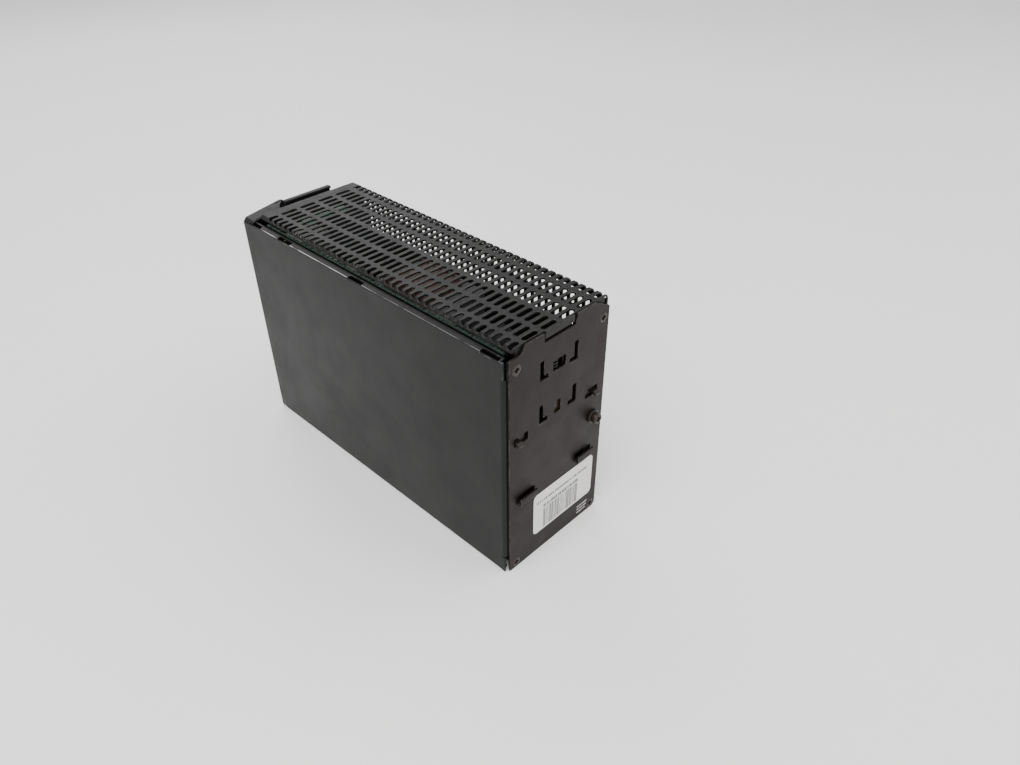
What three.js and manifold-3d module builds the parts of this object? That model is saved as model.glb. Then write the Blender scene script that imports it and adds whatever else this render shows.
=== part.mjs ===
// DIN rail power supply: a narrow sheet-metal case with a vented cover, a plastic front cap,
// a spring-loaded rail latch behind the rear plate, and the boards and parts that work inside.
//
// Everything is laid out in the case frame, in millimetres. Its datum is the lower rear corner
// of the plain side: x runs across to the vented side, y runs forward from the rear plate's
// outer face, and z runs up. The last lines turn the case so that its front faces -Y.
import * as THREE from 'three';
import { mergeVertices } from 'three/addons/utils/BufferGeometryUtils.js';
import Module from 'manifold-3d';

const wasm = await Module();
wasm.setup();

// ---------------------------------------------------------------- driving dimensions
const WIDTH = 65; // plain side to vented side
const SIDE_TOP = 121; // height of the plain side panel and of the cap's corners
const COVER_TOP = 125; // height of the vented cover's flat top
const CASE_DEPTH = 184; // rear plate's outer face to the back of the front cap
const CAP_DEPTH = 4.6;
const SHEET = 1; // steel sheet thickness
const GAP = 0.3; // clearance between touching pieces
const SCREW_REACH = 4.2; // how far the ground screw stands out behind the rear plate
const HOOK = { z: 41.2, reach: 2.2, lip: 3.2 };
const FRONT = CASE_DEPTH + CAP_DEPTH;
const CENTRE_X = WIDTH / 2;

const VENT = { count: 39, firstY: 3.2, pitch: 4.4, width: 2.6, length: 8.9, rowPitch: 11.25 };
const TOP_ROW_X = 17.1; // centre of the first flat row of vents
const SIDE_ROW_Z = 116.5; // centre of the highest row of vents on the far wall

const LATCH = { y0: SHEET + GAP, y1: 2.5, halfStem: 5.3, halfSpan: 27.1, halfHead: 8.8 };
const BEAK = { halfInner: 23.7, halfOuter: 27, z: 76.2, height: 1.6, reach: 2.2, lip: 0.6 };
const SPRING = { top: 109, bottom: 97.3, y: 3.9, radius: 2.1, wire: 0.35, turns: 6 };

const CORNER_SCREWS = [[6.5, 114.9], [61, 114.7], [6.5, 3], [61, 3]];
const GROUND_SCREW = [57.5, 62.5];

const BOARD = { x0: 4, x1: 5.6, y0: 5, y1: 173, z0: 1.6, z1: 121.3 };
const ON_BOARD = BOARD.x1 + GAP; // where the parts on the main board start
const PANEL_BOARD = { y0: 163.8, y1: 165.4 }; // board behind the front cap

const WINDOW = { x0: 24, x1: 54, z0: 91.2 }; // front opening over the input terminals
const FLAP_AXIS = { y: 186, z: 94.5 };
const INPUT_TERMINAL = {
  count: 3, pitch: 9, x: 39, z: 106, width: 27.4, height: 20,
  front: 178.2, depth: 9, wellZ: 103, wireZ: [108.6, 114.2],
};
const OUTPUT_TERMINAL = {
  count: 4, pitch: 10, x: 32.5, z: 18, width: 41, height: 20,
  front: 187, depth: 12, wellZ: 22, wireZ: [9.8, 15.4],
};
const LED = { x: 16, z: 76 };
const TRIMMER = { x: 16, z: 62 };
const SELECTOR = { x: 44, z: 66, travel: 4.4 };

// ---------------------------------------------------------------- materials
const finish = (color, roughness, metalness = 0) =>
  new THREE.MeshStandardMaterial({ color, roughness, metalness });

const FINISH = {
  blackSheet: finish(0x2e2c2b, 0.5, 0.2),
  capPlastic: finish(0x2b2b2a, 0.45),
  labelWhite: finish(0xd8d6d0, 0.6),
  yellowZinc: finish(0x8a6f3c, 0.4, 0.9),
  springSteel: finish(0xb4b4b0, 0.3, 1),
  boardGreen: finish(0x1f4a38, 0.55),
  insulation: finish(0xd9d2b8, 0.5),
  nickel: finish(0xa8a59c, 0.35, 1),
  terminalGreen: finish(0x2f6b4a, 0.5),
  ledGreen: finish(0x49c46a, 0.25),
  trimmerBlue: finish(0x2c5c9a, 0.5),
  trimmerWhite: finish(0xe6e4de, 0.5),
  switchBlack: finish(0x1b1b1c, 0.5),
  switchRed: finish(0xb02a22, 0.45),
  capacitorSleeve: finish(0x23262b, 0.4),
  brownSleeve: finish(0x5b3a24, 0.4),
  ferrite: finish(0x3a3a3c, 0.7),
  tapeYellow: finish(0xc79a3a, 0.5),
  copper: finish(0x8c4a2a, 0.35, 0.8),
  greyGreen: finish(0x76807a, 0.6),
  filmGrey: finish(0xb9b8b0, 0.5),
  relayWhite: finish(0xcfcdc5, 0.5),
  aluminium: finish(0xb5b7b8, 0.35, 1),
  epoxyBlack: finish(0x18181a, 0.45),
  fuseGlass: finish(0xcfd4d2, 0.15),
  discBlue: finish(0x33507a, 0.5),
};

// ---------------------------------------------------------------- geometry helpers
/** A box between two corners. */
function box(x0, x1, y0, y1, z0, z1) {
  const geometry = new THREE.BoxGeometry(x1 - x0, y1 - y0, z1 - z0);
  return geometry.translate((x0 + x1) / 2, (y0 + y1) / 2, (z0 + z1) / 2);
}

const AXES = {
  // outline's first axis, its second axis, and the way it is extruded
  x: [[0, 1, 0], [0, 0, 1], [1, 0, 0]],
  y: [[0, 0, 1], [1, 0, 0], [0, 1, 0]],
  z: [[1, 0, 0], [0, 1, 0], [0, 0, 1]],
};

/** Extrudes an outline along an axis. Its points are (y, z) for x, (z, x) for y and (x, y) for z. */
function prism(axis, outline, from, to, curveSegments = 6) {
  const shape = outline instanceof THREE.Shape ? outline : new THREE.Shape(toPoints(outline));
  const options = { depth: to - from, bevelEnabled: false, curveSegments };
  const geometry = new THREE.ExtrudeGeometry(shape, options);
  const [first, second, along] = AXES[axis].map((v) => new THREE.Vector3(...v));
  const matrix = new THREE.Matrix4().makeBasis(first, second, along);
  matrix.setPosition(along.multiplyScalar(from));
  return geometry.applyMatrix4(matrix);
}

const toPoints = (pairs) => pairs.map(([a, b]) => new THREE.Vector2(a, b));

/** An (x, z) outline as the (z, x) points that prism('y', ...) takes. */
const frontOutline = (pairs) => pairs.map(([x, z]) => [z, x]);

/** A cylinder along an axis, centred on the two other coordinates in their order x, y, z. */
function rod(axis, [a, b], radius, from, to, sides = 16, endRadius = radius) {
  const geometry = new THREE.CylinderGeometry(endRadius, radius, to - from, sides);
  const middle = (from + to) / 2;
  if (axis === 'x') return geometry.rotateZ(-Math.PI / 2).translate(middle, a, b);
  if (axis === 'y') return geometry.translate(a, middle, b);
  return geometry.rotateX(Math.PI / 2).translate(a, b, middle);
}

function toSolid(geometry) {
  const bare = geometry.clone();
  bare.deleteAttribute('normal');
  bare.deleteAttribute('uv');
  const merged = mergeVertices(bare, 1e-4);
  return new wasm.Manifold(new wasm.Mesh({
    numProp: 3,
    vertProperties: new Float32Array(merged.attributes.position.array),
    triVerts: new Uint32Array(merged.index.array),
  }));
}

function toGeometry(solid) {
  const mesh = solid.getMesh();
  const geometry = new THREE.BufferGeometry();
  geometry.setAttribute('position', new THREE.BufferAttribute(mesh.vertProperties, 3));
  geometry.setIndex(new THREE.BufferAttribute(mesh.triVerts, 1));
  return geometry.toNonIndexed();
}

const joined = (geometries) => geometries.map(toSolid).reduce((all, one) => all.add(one));

/** Joins the first list of geometries and cuts the second list away. */
function carve(added, removed = []) {
  const solid = joined(added);
  return toGeometry(removed.length ? solid.subtract(joined(removed)) : solid);
}

/** Points of an arc in degrees, in steps small enough for its size. */
function arc(cx, cy, radius, fromDegrees, toDegrees, steps = 4) {
  return Array.from({ length: steps + 1 }, (_, i) => {
    const a = THREE.MathUtils.degToRad(fromDegrees + ((toDegrees - fromDegrees) * i) / steps);
    return [cx + radius * Math.cos(a), cy + radius * Math.sin(a)];
  });
}

const mirrored = (x) => WIDTH - x;

const caseGroup = new THREE.Group();

function add(name, geometry, material) {
  const mesh = new THREE.Mesh(geometry, material);
  mesh.name = name;
  geometry.computeVertexNormals();
  caseGroup.add(mesh);
  return mesh;
}

// ---------------------------------------------------------------- sheet-metal case
/** The plain side, with a narrow flange along its top and bottom and a flange behind the rear plate. */
function sidePanel() {
  const bend = 1.9;
  const flangeY = [SHEET + GAP, 2 * SHEET + GAP];
  const start = flangeY[0] + bend;
  const end = CASE_DEPTH - GAP;
  const corner = [
    [0, end],
    ...arc(bend, start, bend, 180, 270),
    [4.6, flangeY[0]],
    [4.6, flangeY[1]],
    ...arc(bend, start, bend - SHEET, 270, 180),
    [SHEET, end],
  ];
  const notches = [[4, 14.3], [89.8, 100.2], [146.2, 156.8], [172.6, 182.6]];
  const [, , nearFoot] = CORNER_SCREWS;
  const nearTop = CORNER_SCREWS[0];
  return carve(
    [
      prism('z', corner, 9.5, 111.6),
      box(0, SHEET, start, end, 0, SIDE_TOP),
      box(0, SHEET, 1.5, start, 111.6, SIDE_TOP),
      box(0, SHEET, 1.5, start, 0, 9.5),
      box(0, 3.2, start, end, SIDE_TOP - SHEET, SIDE_TOP),
      box(0, 3.7, start, 183, 0, SHEET),
      box(2.2, 12, ...flangeY, 103, 119.5),
      box(2.6, 12, ...flangeY, SHEET + GAP, 69),
    ],
    [
      ...notches.map(([y0, y1]) => box(-1, 2.4, y0, y1, SIDE_TOP - 1.2, SIDE_TOP + 1)),
      rod('y', nearTop, 1.45, 0, 4, 10),
      rod('y', nearFoot, 1.45, 0, 4, 10),
    ],
  );
}

/** The vented cover: a slotted lip, the flat top, the far wall and the bottom, bent from one sheet. */
function ventedCover() {
  const bend = 3;
  const foot = 1.6;
  const outer = [
    [4.6, 122.9],
    [5.6, COVER_TOP],
    ...arc(WIDTH - bend, COVER_TOP - bend, bend, 90, 0),
    ...arc(WIDTH - foot, foot, foot, 0, -90, 3),
    [6.5, 0],
  ];
  const inner = [
    [6.5, SHEET],
    ...arc(WIDTH - foot, foot, foot - SHEET, -90, 0, 3),
    ...arc(WIDTH - bend, COVER_TOP - bend, bend - SHEET, 0, 90),
    [6.2, COVER_TOP - SHEET],
    [5.5, 122.5],
  ];
  const end = CASE_DEPTH - GAP;
  const start = SHEET + GAP;
  const flangeY = [start, start + SHEET];
  const frontLip = box(-1, WIDTH + 1, 178, CASE_DEPTH, SIDE_TOP - 2, COVER_TOP + 1);
  const lanes = Array.from({ length: VENT.count }, (_, i) => VENT.firstY + i * VENT.pitch);
  const across = (x0, x1, z0, z1, places = lanes) =>
    places.map((y) => box(x0, x1, y - VENT.width / 2, y + VENT.width / 2, z0, z1));
  const half = VENT.length / 2;
  const topRows = [0, 1, 2, 3].map((k) => TOP_ROW_X + k * VENT.rowPitch);
  const sideRows = [0, 1].map((k) => SIDE_ROW_Z - k * VENT.rowPitch);
  return carve(
    [
      prism('y', frontOutline([...outer, ...inner]).reverse(), start, end),
      box(23.3, 41.5, 0.1, start + 0.1, COVER_TOP - SHEET, COVER_TOP),
      box(23.3, 41.5, 0.1, SHEET + 0.1, 121.6, COVER_TOP),
      box(6.6, 12.5, ...flangeY, 119.8, COVER_TOP - 0.5),
      box(60.4, WIDTH - 0.5, ...flangeY, 2, 117),
      box(55, WIDTH - 0.5, ...flangeY, 103, 117.5),
      box(54, 62.6, ...flangeY, 117, COVER_TOP - 0.5),
      box(55, WIDTH - 0.5, ...flangeY, 0.5, 69),
    ],
    [
      frontLip,
      ...across(4, 10.5, 123.6, COVER_TOP + 1),
      ...topRows.flatMap((x) => across(x - half, x + half, COVER_TOP - 2, COVER_TOP + 1)),
      ...across(58, WIDTH + 1, COVER_TOP - 3.2, COVER_TOP + 1),
      ...sideRows.flatMap((z) => across(WIDTH - 2, WIDTH + 1, z - half, z + half, lanes.slice(1))),
      rod('y', CORNER_SCREWS[1], 1.45, 0, 4, 10),
      rod('y', CORNER_SCREWS[3], 1.45, 0, 4, 10),
      rod('y', GROUND_SCREW, 2, 0, 4, 10),
    ],
  );
}

/** One L-shaped opening beside the latch, with its foot turned towards the middle. */
function lSlot(z0, z1, side) {
  const x = (offset) => CENTRE_X + side * offset;
  const span = (a, b) => [Math.min(x(a), x(b)), Math.max(x(a), x(b))];
  return [
    box(...span(9.6, 12), -1, 2, z0, z1),
    box(...span(6.7, 10), -1, 2, z0, z0 + 2.4),
  ];
}

/** A tongue bent inwards from the plate that wraps one edge of the latch's stem. */
function latchGuide(z0, z1, side) {
  const x = (offset) => CENTRE_X + side * offset;
  const span = (a, b) => [Math.min(x(a), x(b)), Math.max(x(a), x(b))];
  const behind = LATCH.y1 + GAP;
  return [
    box(...span(LATCH.halfStem + GAP, LATCH.halfStem + GAP + 0.9), 0.5, behind + 0.9, z0, z1),
    box(...span(LATCH.halfStem - 1, LATCH.halfStem + GAP + 0.9), behind, behind + 0.9, z0, z1),
  ];
}

/** The flat rear plate with its two rail hooks, its openings and the latch guides. */
function rearPlate() {
  const outline = [
    [2, 0], [62.9, 0], [64.7, 1.8], [64.7, 119.5], [54.8, 124.9], [43.2, 124.9], [42, 119.9],
    [22.8, 119.9], [22.8, 124.6], [11.5, 124.6], [9, 121], [2, 121],
  ];
  const hookSpans = [[7.2, 18.3], [mirrored(18.3), mirrored(7.2)]];
  const inner = SHEET - HOOK.reach;
  const hookProfile = [
    [0.5, HOOK.z - SHEET], [0.5, HOOK.z], [inner, HOOK.z], [inner, HOOK.z + HOOK.lip],
    [-HOOK.reach, HOOK.z + HOOK.lip], [-HOOK.reach, HOOK.z], [inner, HOOK.z - SHEET],
  ];
  const beakOpenings = [[5, 13.6], [mirrored(13.6), mirrored(5)]];
  const sides = [-1, 1];
  return carve(
    [
      prism('y', frontOutline(outline), 0, SHEET),
      ...hookSpans.map(([x0, x1]) => prism('x', hookProfile, x0, x1)),
      ...sides.flatMap((side) => [...latchGuide(104.4, 109, side), ...latchGuide(81.6, 87, side)]),
      box(30.3, 34.7, 0.5, 6.4, SPRING.top + GAP, SPRING.top + GAP + SHEET),
    ],
    [
      ...sides.flatMap((side) => [...lSlot(101.5, 111.4, side), ...lSlot(78.8, 88.6, side)]),
      box(28.5, 36.5, -1, 2, 102.5, 108),
      box(30.2, 34.2, -1, 2, 79.5, 86),
      ...beakOpenings.map(([x0, x1]) => box(x0, x1, -1, 2, 75.4, 79.9)),
      ...hookSpans.map(([x0, x1]) => box(x0, x1, -1, 2, HOOK.z, 45.2)),
      ...CORNER_SCREWS.map((at) => rod('y', at, 2.9, -1, 2, 16)),
      rod('y', GROUND_SCREW, 1.8, -1, 2, 12),
    ],
  );
}

/** A thin sticker on the rear plate. */
function rearLabel() {
  const [x0, x1, z0, z1] = [17.8, 60.3, 12.2, 37.4];
  const corner = 2.5;
  const outline = [
    ...arc(x1 - corner, z1 - corner, corner, 90, 0),
    ...arc(x1 - corner, z0 + corner, corner, 0, -90),
    ...arc(x0 + corner, z0 + corner, corner, 270, 180),
    ...arc(x0 + corner, z1 - corner, corner, 180, 90),
  ];
  return prism('y', frontOutline(outline), -0.2, -0.05);
}

// ---------------------------------------------------------------- rail latch
/** The sliding latch: a head in the plate's notch, a stem, a crossbar and two arms with beaks. */
function latchSlider() {
  const { y0, y1 } = LATCH;
  const centred = (half, z0, z1) => box(CENTRE_X - half, CENTRE_X + half, y0, y1, z0, z1);
  const arm = (x0, x1) => box(x0, x1, y0, y1, 75, 97);
  const [inner, outer] = [CENTRE_X - BEAK.halfInner, CENTRE_X - BEAK.halfOuter];
  const top = BEAK.z + BEAK.height;
  const nose = -BEAK.reach;
  const beak = [
    [y1, BEAK.z], [y1, top], [-1, top], [nose, top - 0.8],
    [nose, BEAK.z - BEAK.lip], [nose + SHEET, BEAK.z - BEAK.lip], [nose + SHEET, BEAK.z],
  ];
  const seat = box(30.3, 34.7, y0, 6.4, 96, 97);
  return carve(
    [
      centred(LATCH.halfStem, 78, 120),
      centred(LATCH.halfHead, 114, 120.5),
      centred(LATCH.halfSpan, 90, 97),
      arm(CENTRE_X - LATCH.halfSpan, 12.6),
      arm(mirrored(12.6), CENTRE_X + LATCH.halfSpan),
      prism('x', beak, outer, inner),
      prism('x', beak, mirrored(inner), mirrored(outer)),
      seat,
    ],
    [box(29, 36, 0, 2.6, 97, 111.6)],
  );
}

/** A round-wire compression spring along z. */
function latchSpring() {
  const { top, bottom, y, radius, wire, turns } = SPRING;
  class Helix extends THREE.Curve {
    getPoint(t, target = new THREE.Vector3()) {
      const a = 2 * Math.PI * turns * t;
      const z = bottom + wire + (top - bottom - 2 * wire) * t;
      return target.set(CENTRE_X + radius * Math.cos(a), y + radius * Math.sin(a), z);
    }
  }
  const section = new THREE.Shape(toPoints(arc(0, 0, wire, 0, 300, 5)));
  return new THREE.ExtrudeGeometry(section, { steps: turns * 10, extrudePath: new Helix() });
}

// ---------------------------------------------------------------- fasteners
/** A countersunk cross-head screw along y, its head at the rear. */
function cornerScrew([x, z]) {
  const cross = (dx, dz) => box(x - dx, x + dx, -1, 0.55, z - dz, z + dz);
  return carve(
    [rod('y', [x, z], 2.6, 0, 0.4, 16), rod('y', [x, z], 2.6, 0.4, 1.2, 16, 1.15),
      rod('y', [x, z], 1.15, 1.1, 4.6, 10)],
    [cross(1.3, 0.3), cross(0.3, 1.3)],
  );
}

/** A pan-head screw along y on top of its washer. */
function groundScrew([x, z]) {
  const cross = (dx, dz) => box(x - dx, x + dx, -6, -3.2, z - dz, z + dz);
  return carve(
    [rod('y', [x, z], 2.7, -3.6, -1.6, 16), rod('y', [x, z], 2.7, -SCREW_REACH, -3.6, 16, 2.7),
      rod('y', [x, z], 1.4, -1.7, 6, 10)],
    [cross(1.5, 0.35), cross(0.35, 1.5)],
  );
}

function groundWasher([x, z]) {
  return carve([rod('y', [x, z], 3.5, -1.4, -0.1, 18)], [rod('y', [x, z], 1.7, -2, 1, 12)]);
}

/** A terminal screw, seen from the front, in its well. */
function terminalScrew([x, z], seatY) {
  const slot = box(x - 3, x + 3, seatY + 3.4, seatY + 6, z - 0.4, z + 0.4);
  return carve(
    [rod('y', [x, z], 1.4, seatY + GAP, seatY + 2.4, 8), rod('y', [x, z], 2.5, seatY + 2.3, seatY + 4.3, 12)],
    [slot],
  );
}

// ---------------------------------------------------------------- front
/** The plastic cap that closes the front: a shallow tray with a raised brow and its openings. */
function frontCap() {
  const wall = 2;
  const rise = [[0, 119.3], [0.8, 121], [2.8, 122.1], [21.6, 124.7], [WINDOW.x0, 124.8]];
  const outline = [[0, 0], ...rise, [WINDOW.x0, 119.5], [WIDTH, 119.5], [WIDTH, 0]];
  const hollow = [
    [wall, wall], [wall, 116], [7, 119], [WIDTH - wall, 117.5], [WIDTH - wall, wall],
  ];
  const ledge = [[4.5, 122.3], [21.6, 124.7], [WINDOW.x0, 124.8], [WINDOW.x0, 122.6], [6.2, 120.3]];
  const skin = CASE_DEPTH + 2.4;
  const boss = (x0, x1) => box(x0, x1, CASE_DEPTH, FRONT, 91.5, 97.5);
  const through = (x0, x1, z0, z1) => box(x0, x1, 183, FRONT + 1, z0, z1);
  const outputHalf = OUTPUT_TERMINAL.width / 2 + 0.8;
  return carve(
    [
      toGeometry(
        toSolid(prism('y', frontOutline(outline), CASE_DEPTH, FRONT))
          .subtract(toSolid(prism('y', frontOutline(hollow), 183, skin))),
      ),
      prism('y', frontOutline(ledge), 180, skin + 0.5),
      boss(21, WINDOW.x0 + 0.01),
      boss(WINDOW.x1 - 0.01, 57),
    ],
    [
      through(WINDOW.x0, WINDOW.x1, WINDOW.z0, 130),
      prism('z', [[14.5, 178], [24.5, 178], [24.5, 187.2]], 119, 127),
      rod('x', [FLAP_AXIS.y, FLAP_AXIS.z], 1.2, 22, 56, 12),
      through(CENTRE_X - outputHalf, CENTRE_X + outputHalf, 7.2, 28.8),
      rod('y', [LED.x, LED.z], 1.8, 183, 190, 14),
      rod('y', [TRIMMER.x, TRIMMER.z], 3.2, 183, 190, 18),
      through(SELECTOR.x - 5.2, SELECTOR.x + 5.2, SELECTOR.z - 2.6, SELECTOR.z + 2.6),
    ],
  );
}

/** The hinged cover over the input terminals, with a lip along its top to lift it by. */
function terminalCover() {
  const [x0, x1] = [WINDOW.x0 + 0.4, WINDOW.x1 - 0.4];
  const at = [FLAP_AXIS.y, FLAP_AXIS.z];
  const top = 123.6;
  return carve([
    box(x0, x1, 186.6, 188.4, FLAP_AXIS.z, top),
    box(x0, x1, 185.4, 188.4, top - 1.4, top),
    rod('x', at, 1.7, x0, x1, 12),
    rod('x', at, 0.9, WINDOW.x0 - 1.6, WINDOW.x1 + 1.6, 10),
  ]);
}

/** A row of screw terminals: each pole has a screw well and an opening for its wire. */
function terminalBlock({ count, pitch, x, z, width, height }, y1, depth, wellZ, wireZ) {
  const poles = polePlaces(count, pitch, x);
  return carve(
    [box(x - width / 2, x + width / 2, PANEL_BOARD.y1 + GAP, y1, z - height / 2, z + height / 2)],
    [
      ...poles.map((px) => box(px - 2.8, px + 2.8, y1 - depth, y1 + 1, wellZ - 2.8, wellZ + 2.8)),
      ...poles.map((px) => box(px - 2.8, px + 2.8, y1 - depth, y1 + 1, ...wireZ)),
    ],
  );
}

const polePlaces = (count, pitch, x) =>
  Array.from({ length: count }, (_, i) => x + (i - (count - 1) / 2) * pitch);

/** Adds a terminal block and the screw of each of its poles. */
function addTerminals(name, terminal) {
  const { count, pitch, x, front, depth, wellZ, wireZ } = terminal;
  add(`${name}_terminal_block`, terminalBlock(terminal, front, depth, wellZ, wireZ), FINISH.terminalGreen);
  polePlaces(count, pitch, x).forEach((px, i) => {
    add(`${name}_terminal_screw_${i + 1}`, terminalScrew([px, wellZ], front - depth), FINISH.nickel);
  });
}

function statusLed() {
  const profile = [[0, 165.7], [1.5, 165.7], [1.5, 186.9], [1.2, 187.8], [0.7, 188.2], [0, 188.3]];
  return new THREE.LatheGeometry(toPoints(profile), 14).translate(LED.x, 0, LED.z);
}

function trimmerDial() {
  const [y0, y1] = [178.3, 187.6];
  const slot = box(TRIMMER.x - 2, TRIMMER.x + 2, y1 - 1, y1 + 1, TRIMMER.z - 0.35, TRIMMER.z + 0.35);
  return carve([rod('y', [TRIMMER.x, TRIMMER.z], 2.6, y0, y1, 18)], [slot]);
}

function selectorKnob() {
  const left = SELECTOR.x - 4.6;
  const ribs = [1, 2.2, 3.4].map((d) => box(left + d, left + d + 0.5, 187.4, 189, 60, 70));
  return carve([box(left, left + 4.8, 184.8, 188, SELECTOR.z - 2.2, SELECTOR.z + 2.2)], ribs);
}

// ---------------------------------------------------------------- boards and their parts
function mainBoard() {
  const { x0, x1, y0, y1, z0, z1 } = BOARD;
  return box(x0, x1, y0, y1, z0, z1);
}

const SPACERS = [[12, 12], [12, 110], [166, 12], [166, 110]];

function boardSpacer([y, z]) {
  return rod('x', [y, z], 2.75, SHEET + GAP, BOARD.x0 - GAP, 6);
}

function insulationSheet() {
  return carve([box(2.2, 2.5, 8, 176, 4, 117)], SPACERS.map((at) => rod('x', at, 3.3, 1, 4, 12)));
}

/** A round electrolytic capacitor lying along x, with a rolled rim at its far end. */
function canCapacitor([y, z], radius, length) {
  const end = ON_BOARD + length;
  return carve([
    rod('x', [y, z], radius - 0.6, ON_BOARD, end, 20),
    rod('x', [y, z], radius, ON_BOARD + 1.2, end - 1.2, 20),
  ]);
}

/** A toroid with its axis along x, wound all round. */
function woundToroid([y, z], middle, radius, fromX) {
  const profile = arc(middle, 0, radius, 0, 315, 7);
  const ring = new THREE.LatheGeometry(toPoints([...profile, profile[0]]), 20);
  return ring.rotateZ(Math.PI / 2).translate(fromX + radius, y, z);
}

function transformerCore() {
  const window = (y0, y1) => box(16, 40, y0, y1, 90, 112);
  return carve([box(9.2, 46.8, 59, 103, 91, 111)], [window(66, 74.5), window(87.5, 96)]);
}

function transformerWinding() {
  return carve([box(16.3, 39.7, 66.3, 95.7, 84.5, 118)], [box(15, 41, 74.2, 87.8, 90.7, 111.3)]);
}

/** An aluminium plate standing on the main board, folded over at its far edge. */
function heatSink(y0, towards) {
  const fold = towards > 0 ? [y0, y0 + 12] : [y0 - 9, y0 + 3];
  return carve([
    box(ON_BOARD, 46, y0, y0 + 3, 8, 86),
    box(44, 46, ...fold, 8, 86),
  ]);
}

/** A flat power package screwed to a heat sink, with its three legs towards the board. */
function powerPackage(y0, z, width, height) {
  const legs = [-1, 0, 1].map((k) => box(ON_BOARD, 13, y0 + 1, y0 + 2, z + k * 5 - 0.6, z + k * 5 + 0.6));
  return carve(
    [box(12.5, 12.5 + height, y0, y0 + 4, z - width / 2, z + width / 2), ...legs],
    [rod('y', [12.5 + height - 4, z], 1.7, y0 - 1, y0 + 5, 10)],
  );
}

function inputFuse() {
  const [x, y] = [10, 157.5];
  return carve([
    rod('z', [x, y], 2.2, 52, 72, 12),
    rod('z', [x, y], 2.7, 50.5, 56, 12),
    rod('z', [x, y], 2.7, 68, 73.5, 12),
    box(ON_BOARD, x, y - 1.5, y + 1.5, 52, 54),
    box(ON_BOARD, x, y - 1.5, y + 1.5, 70, 72),
  ]);
}

function varistor() {
  return carve([
    rod('y', [15, 86], 6.5, 155.5, 159.5, 18),
    box(ON_BOARD, 11, 157, 158, 83, 84),
    box(ON_BOARD, 11, 157, 158, 88, 89),
  ]);
}

// ---------------------------------------------------------------- assembly
add('side_panel', sidePanel(), FINISH.blackSheet);
add('vented_cover', ventedCover(), FINISH.blackSheet);
add('rear_plate', rearPlate(), FINISH.blackSheet);
add('rear_label', rearLabel(), FINISH.labelWhite);
add('latch_slider', latchSlider(), FINISH.yellowZinc);
add('latch_spring', latchSpring(), FINISH.springSteel);
CORNER_SCREWS.forEach((at, i) => add(`corner_screw_${i + 1}`, cornerScrew(at), FINISH.yellowZinc));
add('ground_screw', groundScrew(GROUND_SCREW), FINISH.nickel);
add('ground_washer', groundWasher(GROUND_SCREW), FINISH.nickel);

add('front_cap', frontCap(), FINISH.capPlastic);
add('terminal_cover', terminalCover(), FINISH.capPlastic);
addTerminals('input', INPUT_TERMINAL);
addTerminals('output', OUTPUT_TERMINAL);
add('status_led', statusLed(), FINISH.ledGreen);
const onPanel = PANEL_BOARD.y1 + GAP;
add('trimmer_body',
  box(TRIMMER.x - 4.5, TRIMMER.x + 4.5, onPanel, 178, TRIMMER.z - 4.8, TRIMMER.z + 4.8), FINISH.trimmerBlue);
add('trimmer_dial', trimmerDial(), FINISH.trimmerWhite);
add('selector_body',
  box(SELECTOR.x - 9, SELECTOR.x + 9, onPanel, 184.5, SELECTOR.z - 4.5, SELECTOR.z + 4.5), FINISH.switchBlack);
add('selector_knob', selectorKnob(), FINISH.switchRed);

add('main_board', mainBoard(), FINISH.boardGreen);
add('insulation_sheet', insulationSheet(), FINISH.insulation);
SPACERS.forEach((at, i) => add(`board_spacer_${i + 1}`, boardSpacer(at), FINISH.nickel));
add('terminal_board', box(7, 62, PANEL_BOARD.y0, PANEL_BOARD.y1, 5, 117), FINISH.boardGreen);
add('control_board', box(ON_BOARD, 42, 147, 148.6, 10, 80), FINISH.boardGreen);
add('bulk_capacitor_1', canCapacitor([129.5, 26], 15, 45), FINISH.capacitorSleeve);
add('bulk_capacitor_2', canCapacitor([129.5, 60], 15, 45), FINISH.capacitorSleeve);
add('output_capacitor_1', canCapacitor([30, 22], 8, 28), FINISH.brownSleeve);
add('output_capacitor_2', canCapacitor([30, 42], 8, 28), FINISH.brownSleeve);
add('output_capacitor_3', canCapacitor([25, 109], 8, 20), FINISH.brownSleeve);
add('transformer_core', transformerCore(), FINISH.ferrite);
add('transformer_winding', transformerWinding(), FINISH.copper);
add('transformer_base', box(ON_BOARD, 8.9, 62, 100, 86, 116), FINISH.relayWhite);
add('input_choke', woundToroid([129, 107.5], 7, 4.4, ON_BOARD), FINISH.greyGreen);
add('output_choke', woundToroid([30, 72], 9, 5.5, ON_BOARD), FINISH.copper);
add('film_capacitor_1', box(ON_BOARD, 26, 150, 163, 98, 118.4), FINISH.filmGrey);
add('film_capacitor_2', box(ON_BOARD, 15, 107, 115, 102, 117.8), FINISH.greyGreen);
add('relay', box(ON_BOARD, 21, 40, 56, 92, 117), FINISH.relayWhite);
add('primary_heat_sink', heatSink(106, -1), FINISH.aluminium);
add('secondary_heat_sink', heatSink(53, 1), FINISH.aluminium);
[28, 62].forEach((z, i) => add(`power_transistor_${i + 1}`, powerPackage(109.3, z, 16, 20), FINISH.epoxyBlack));
[28, 62].forEach((z, i) => add(`output_rectifier_${i + 1}`, powerPackage(48.7, z, 16, 20), FINISH.epoxyBlack));
add('bridge_rectifier', box(ON_BOARD, 24, 152, 156, 14, 38), FINISH.epoxyBlack);
add('input_fuse', inputFuse(), FINISH.fuseGlass);
add('varistor', varistor(), FINISH.discBlue);

// ---------------------------------------------------------------- row frame
// The case turns half round so that its front faces -Y, and its box is centred on X and Y.
caseGroup.rotation.z = Math.PI;
caseGroup.position.set(CENTRE_X, (FRONT - SCREW_REACH) / 2, 0);

const group = new THREE.Group();
group.add(caseGroup);

export default group;
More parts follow.
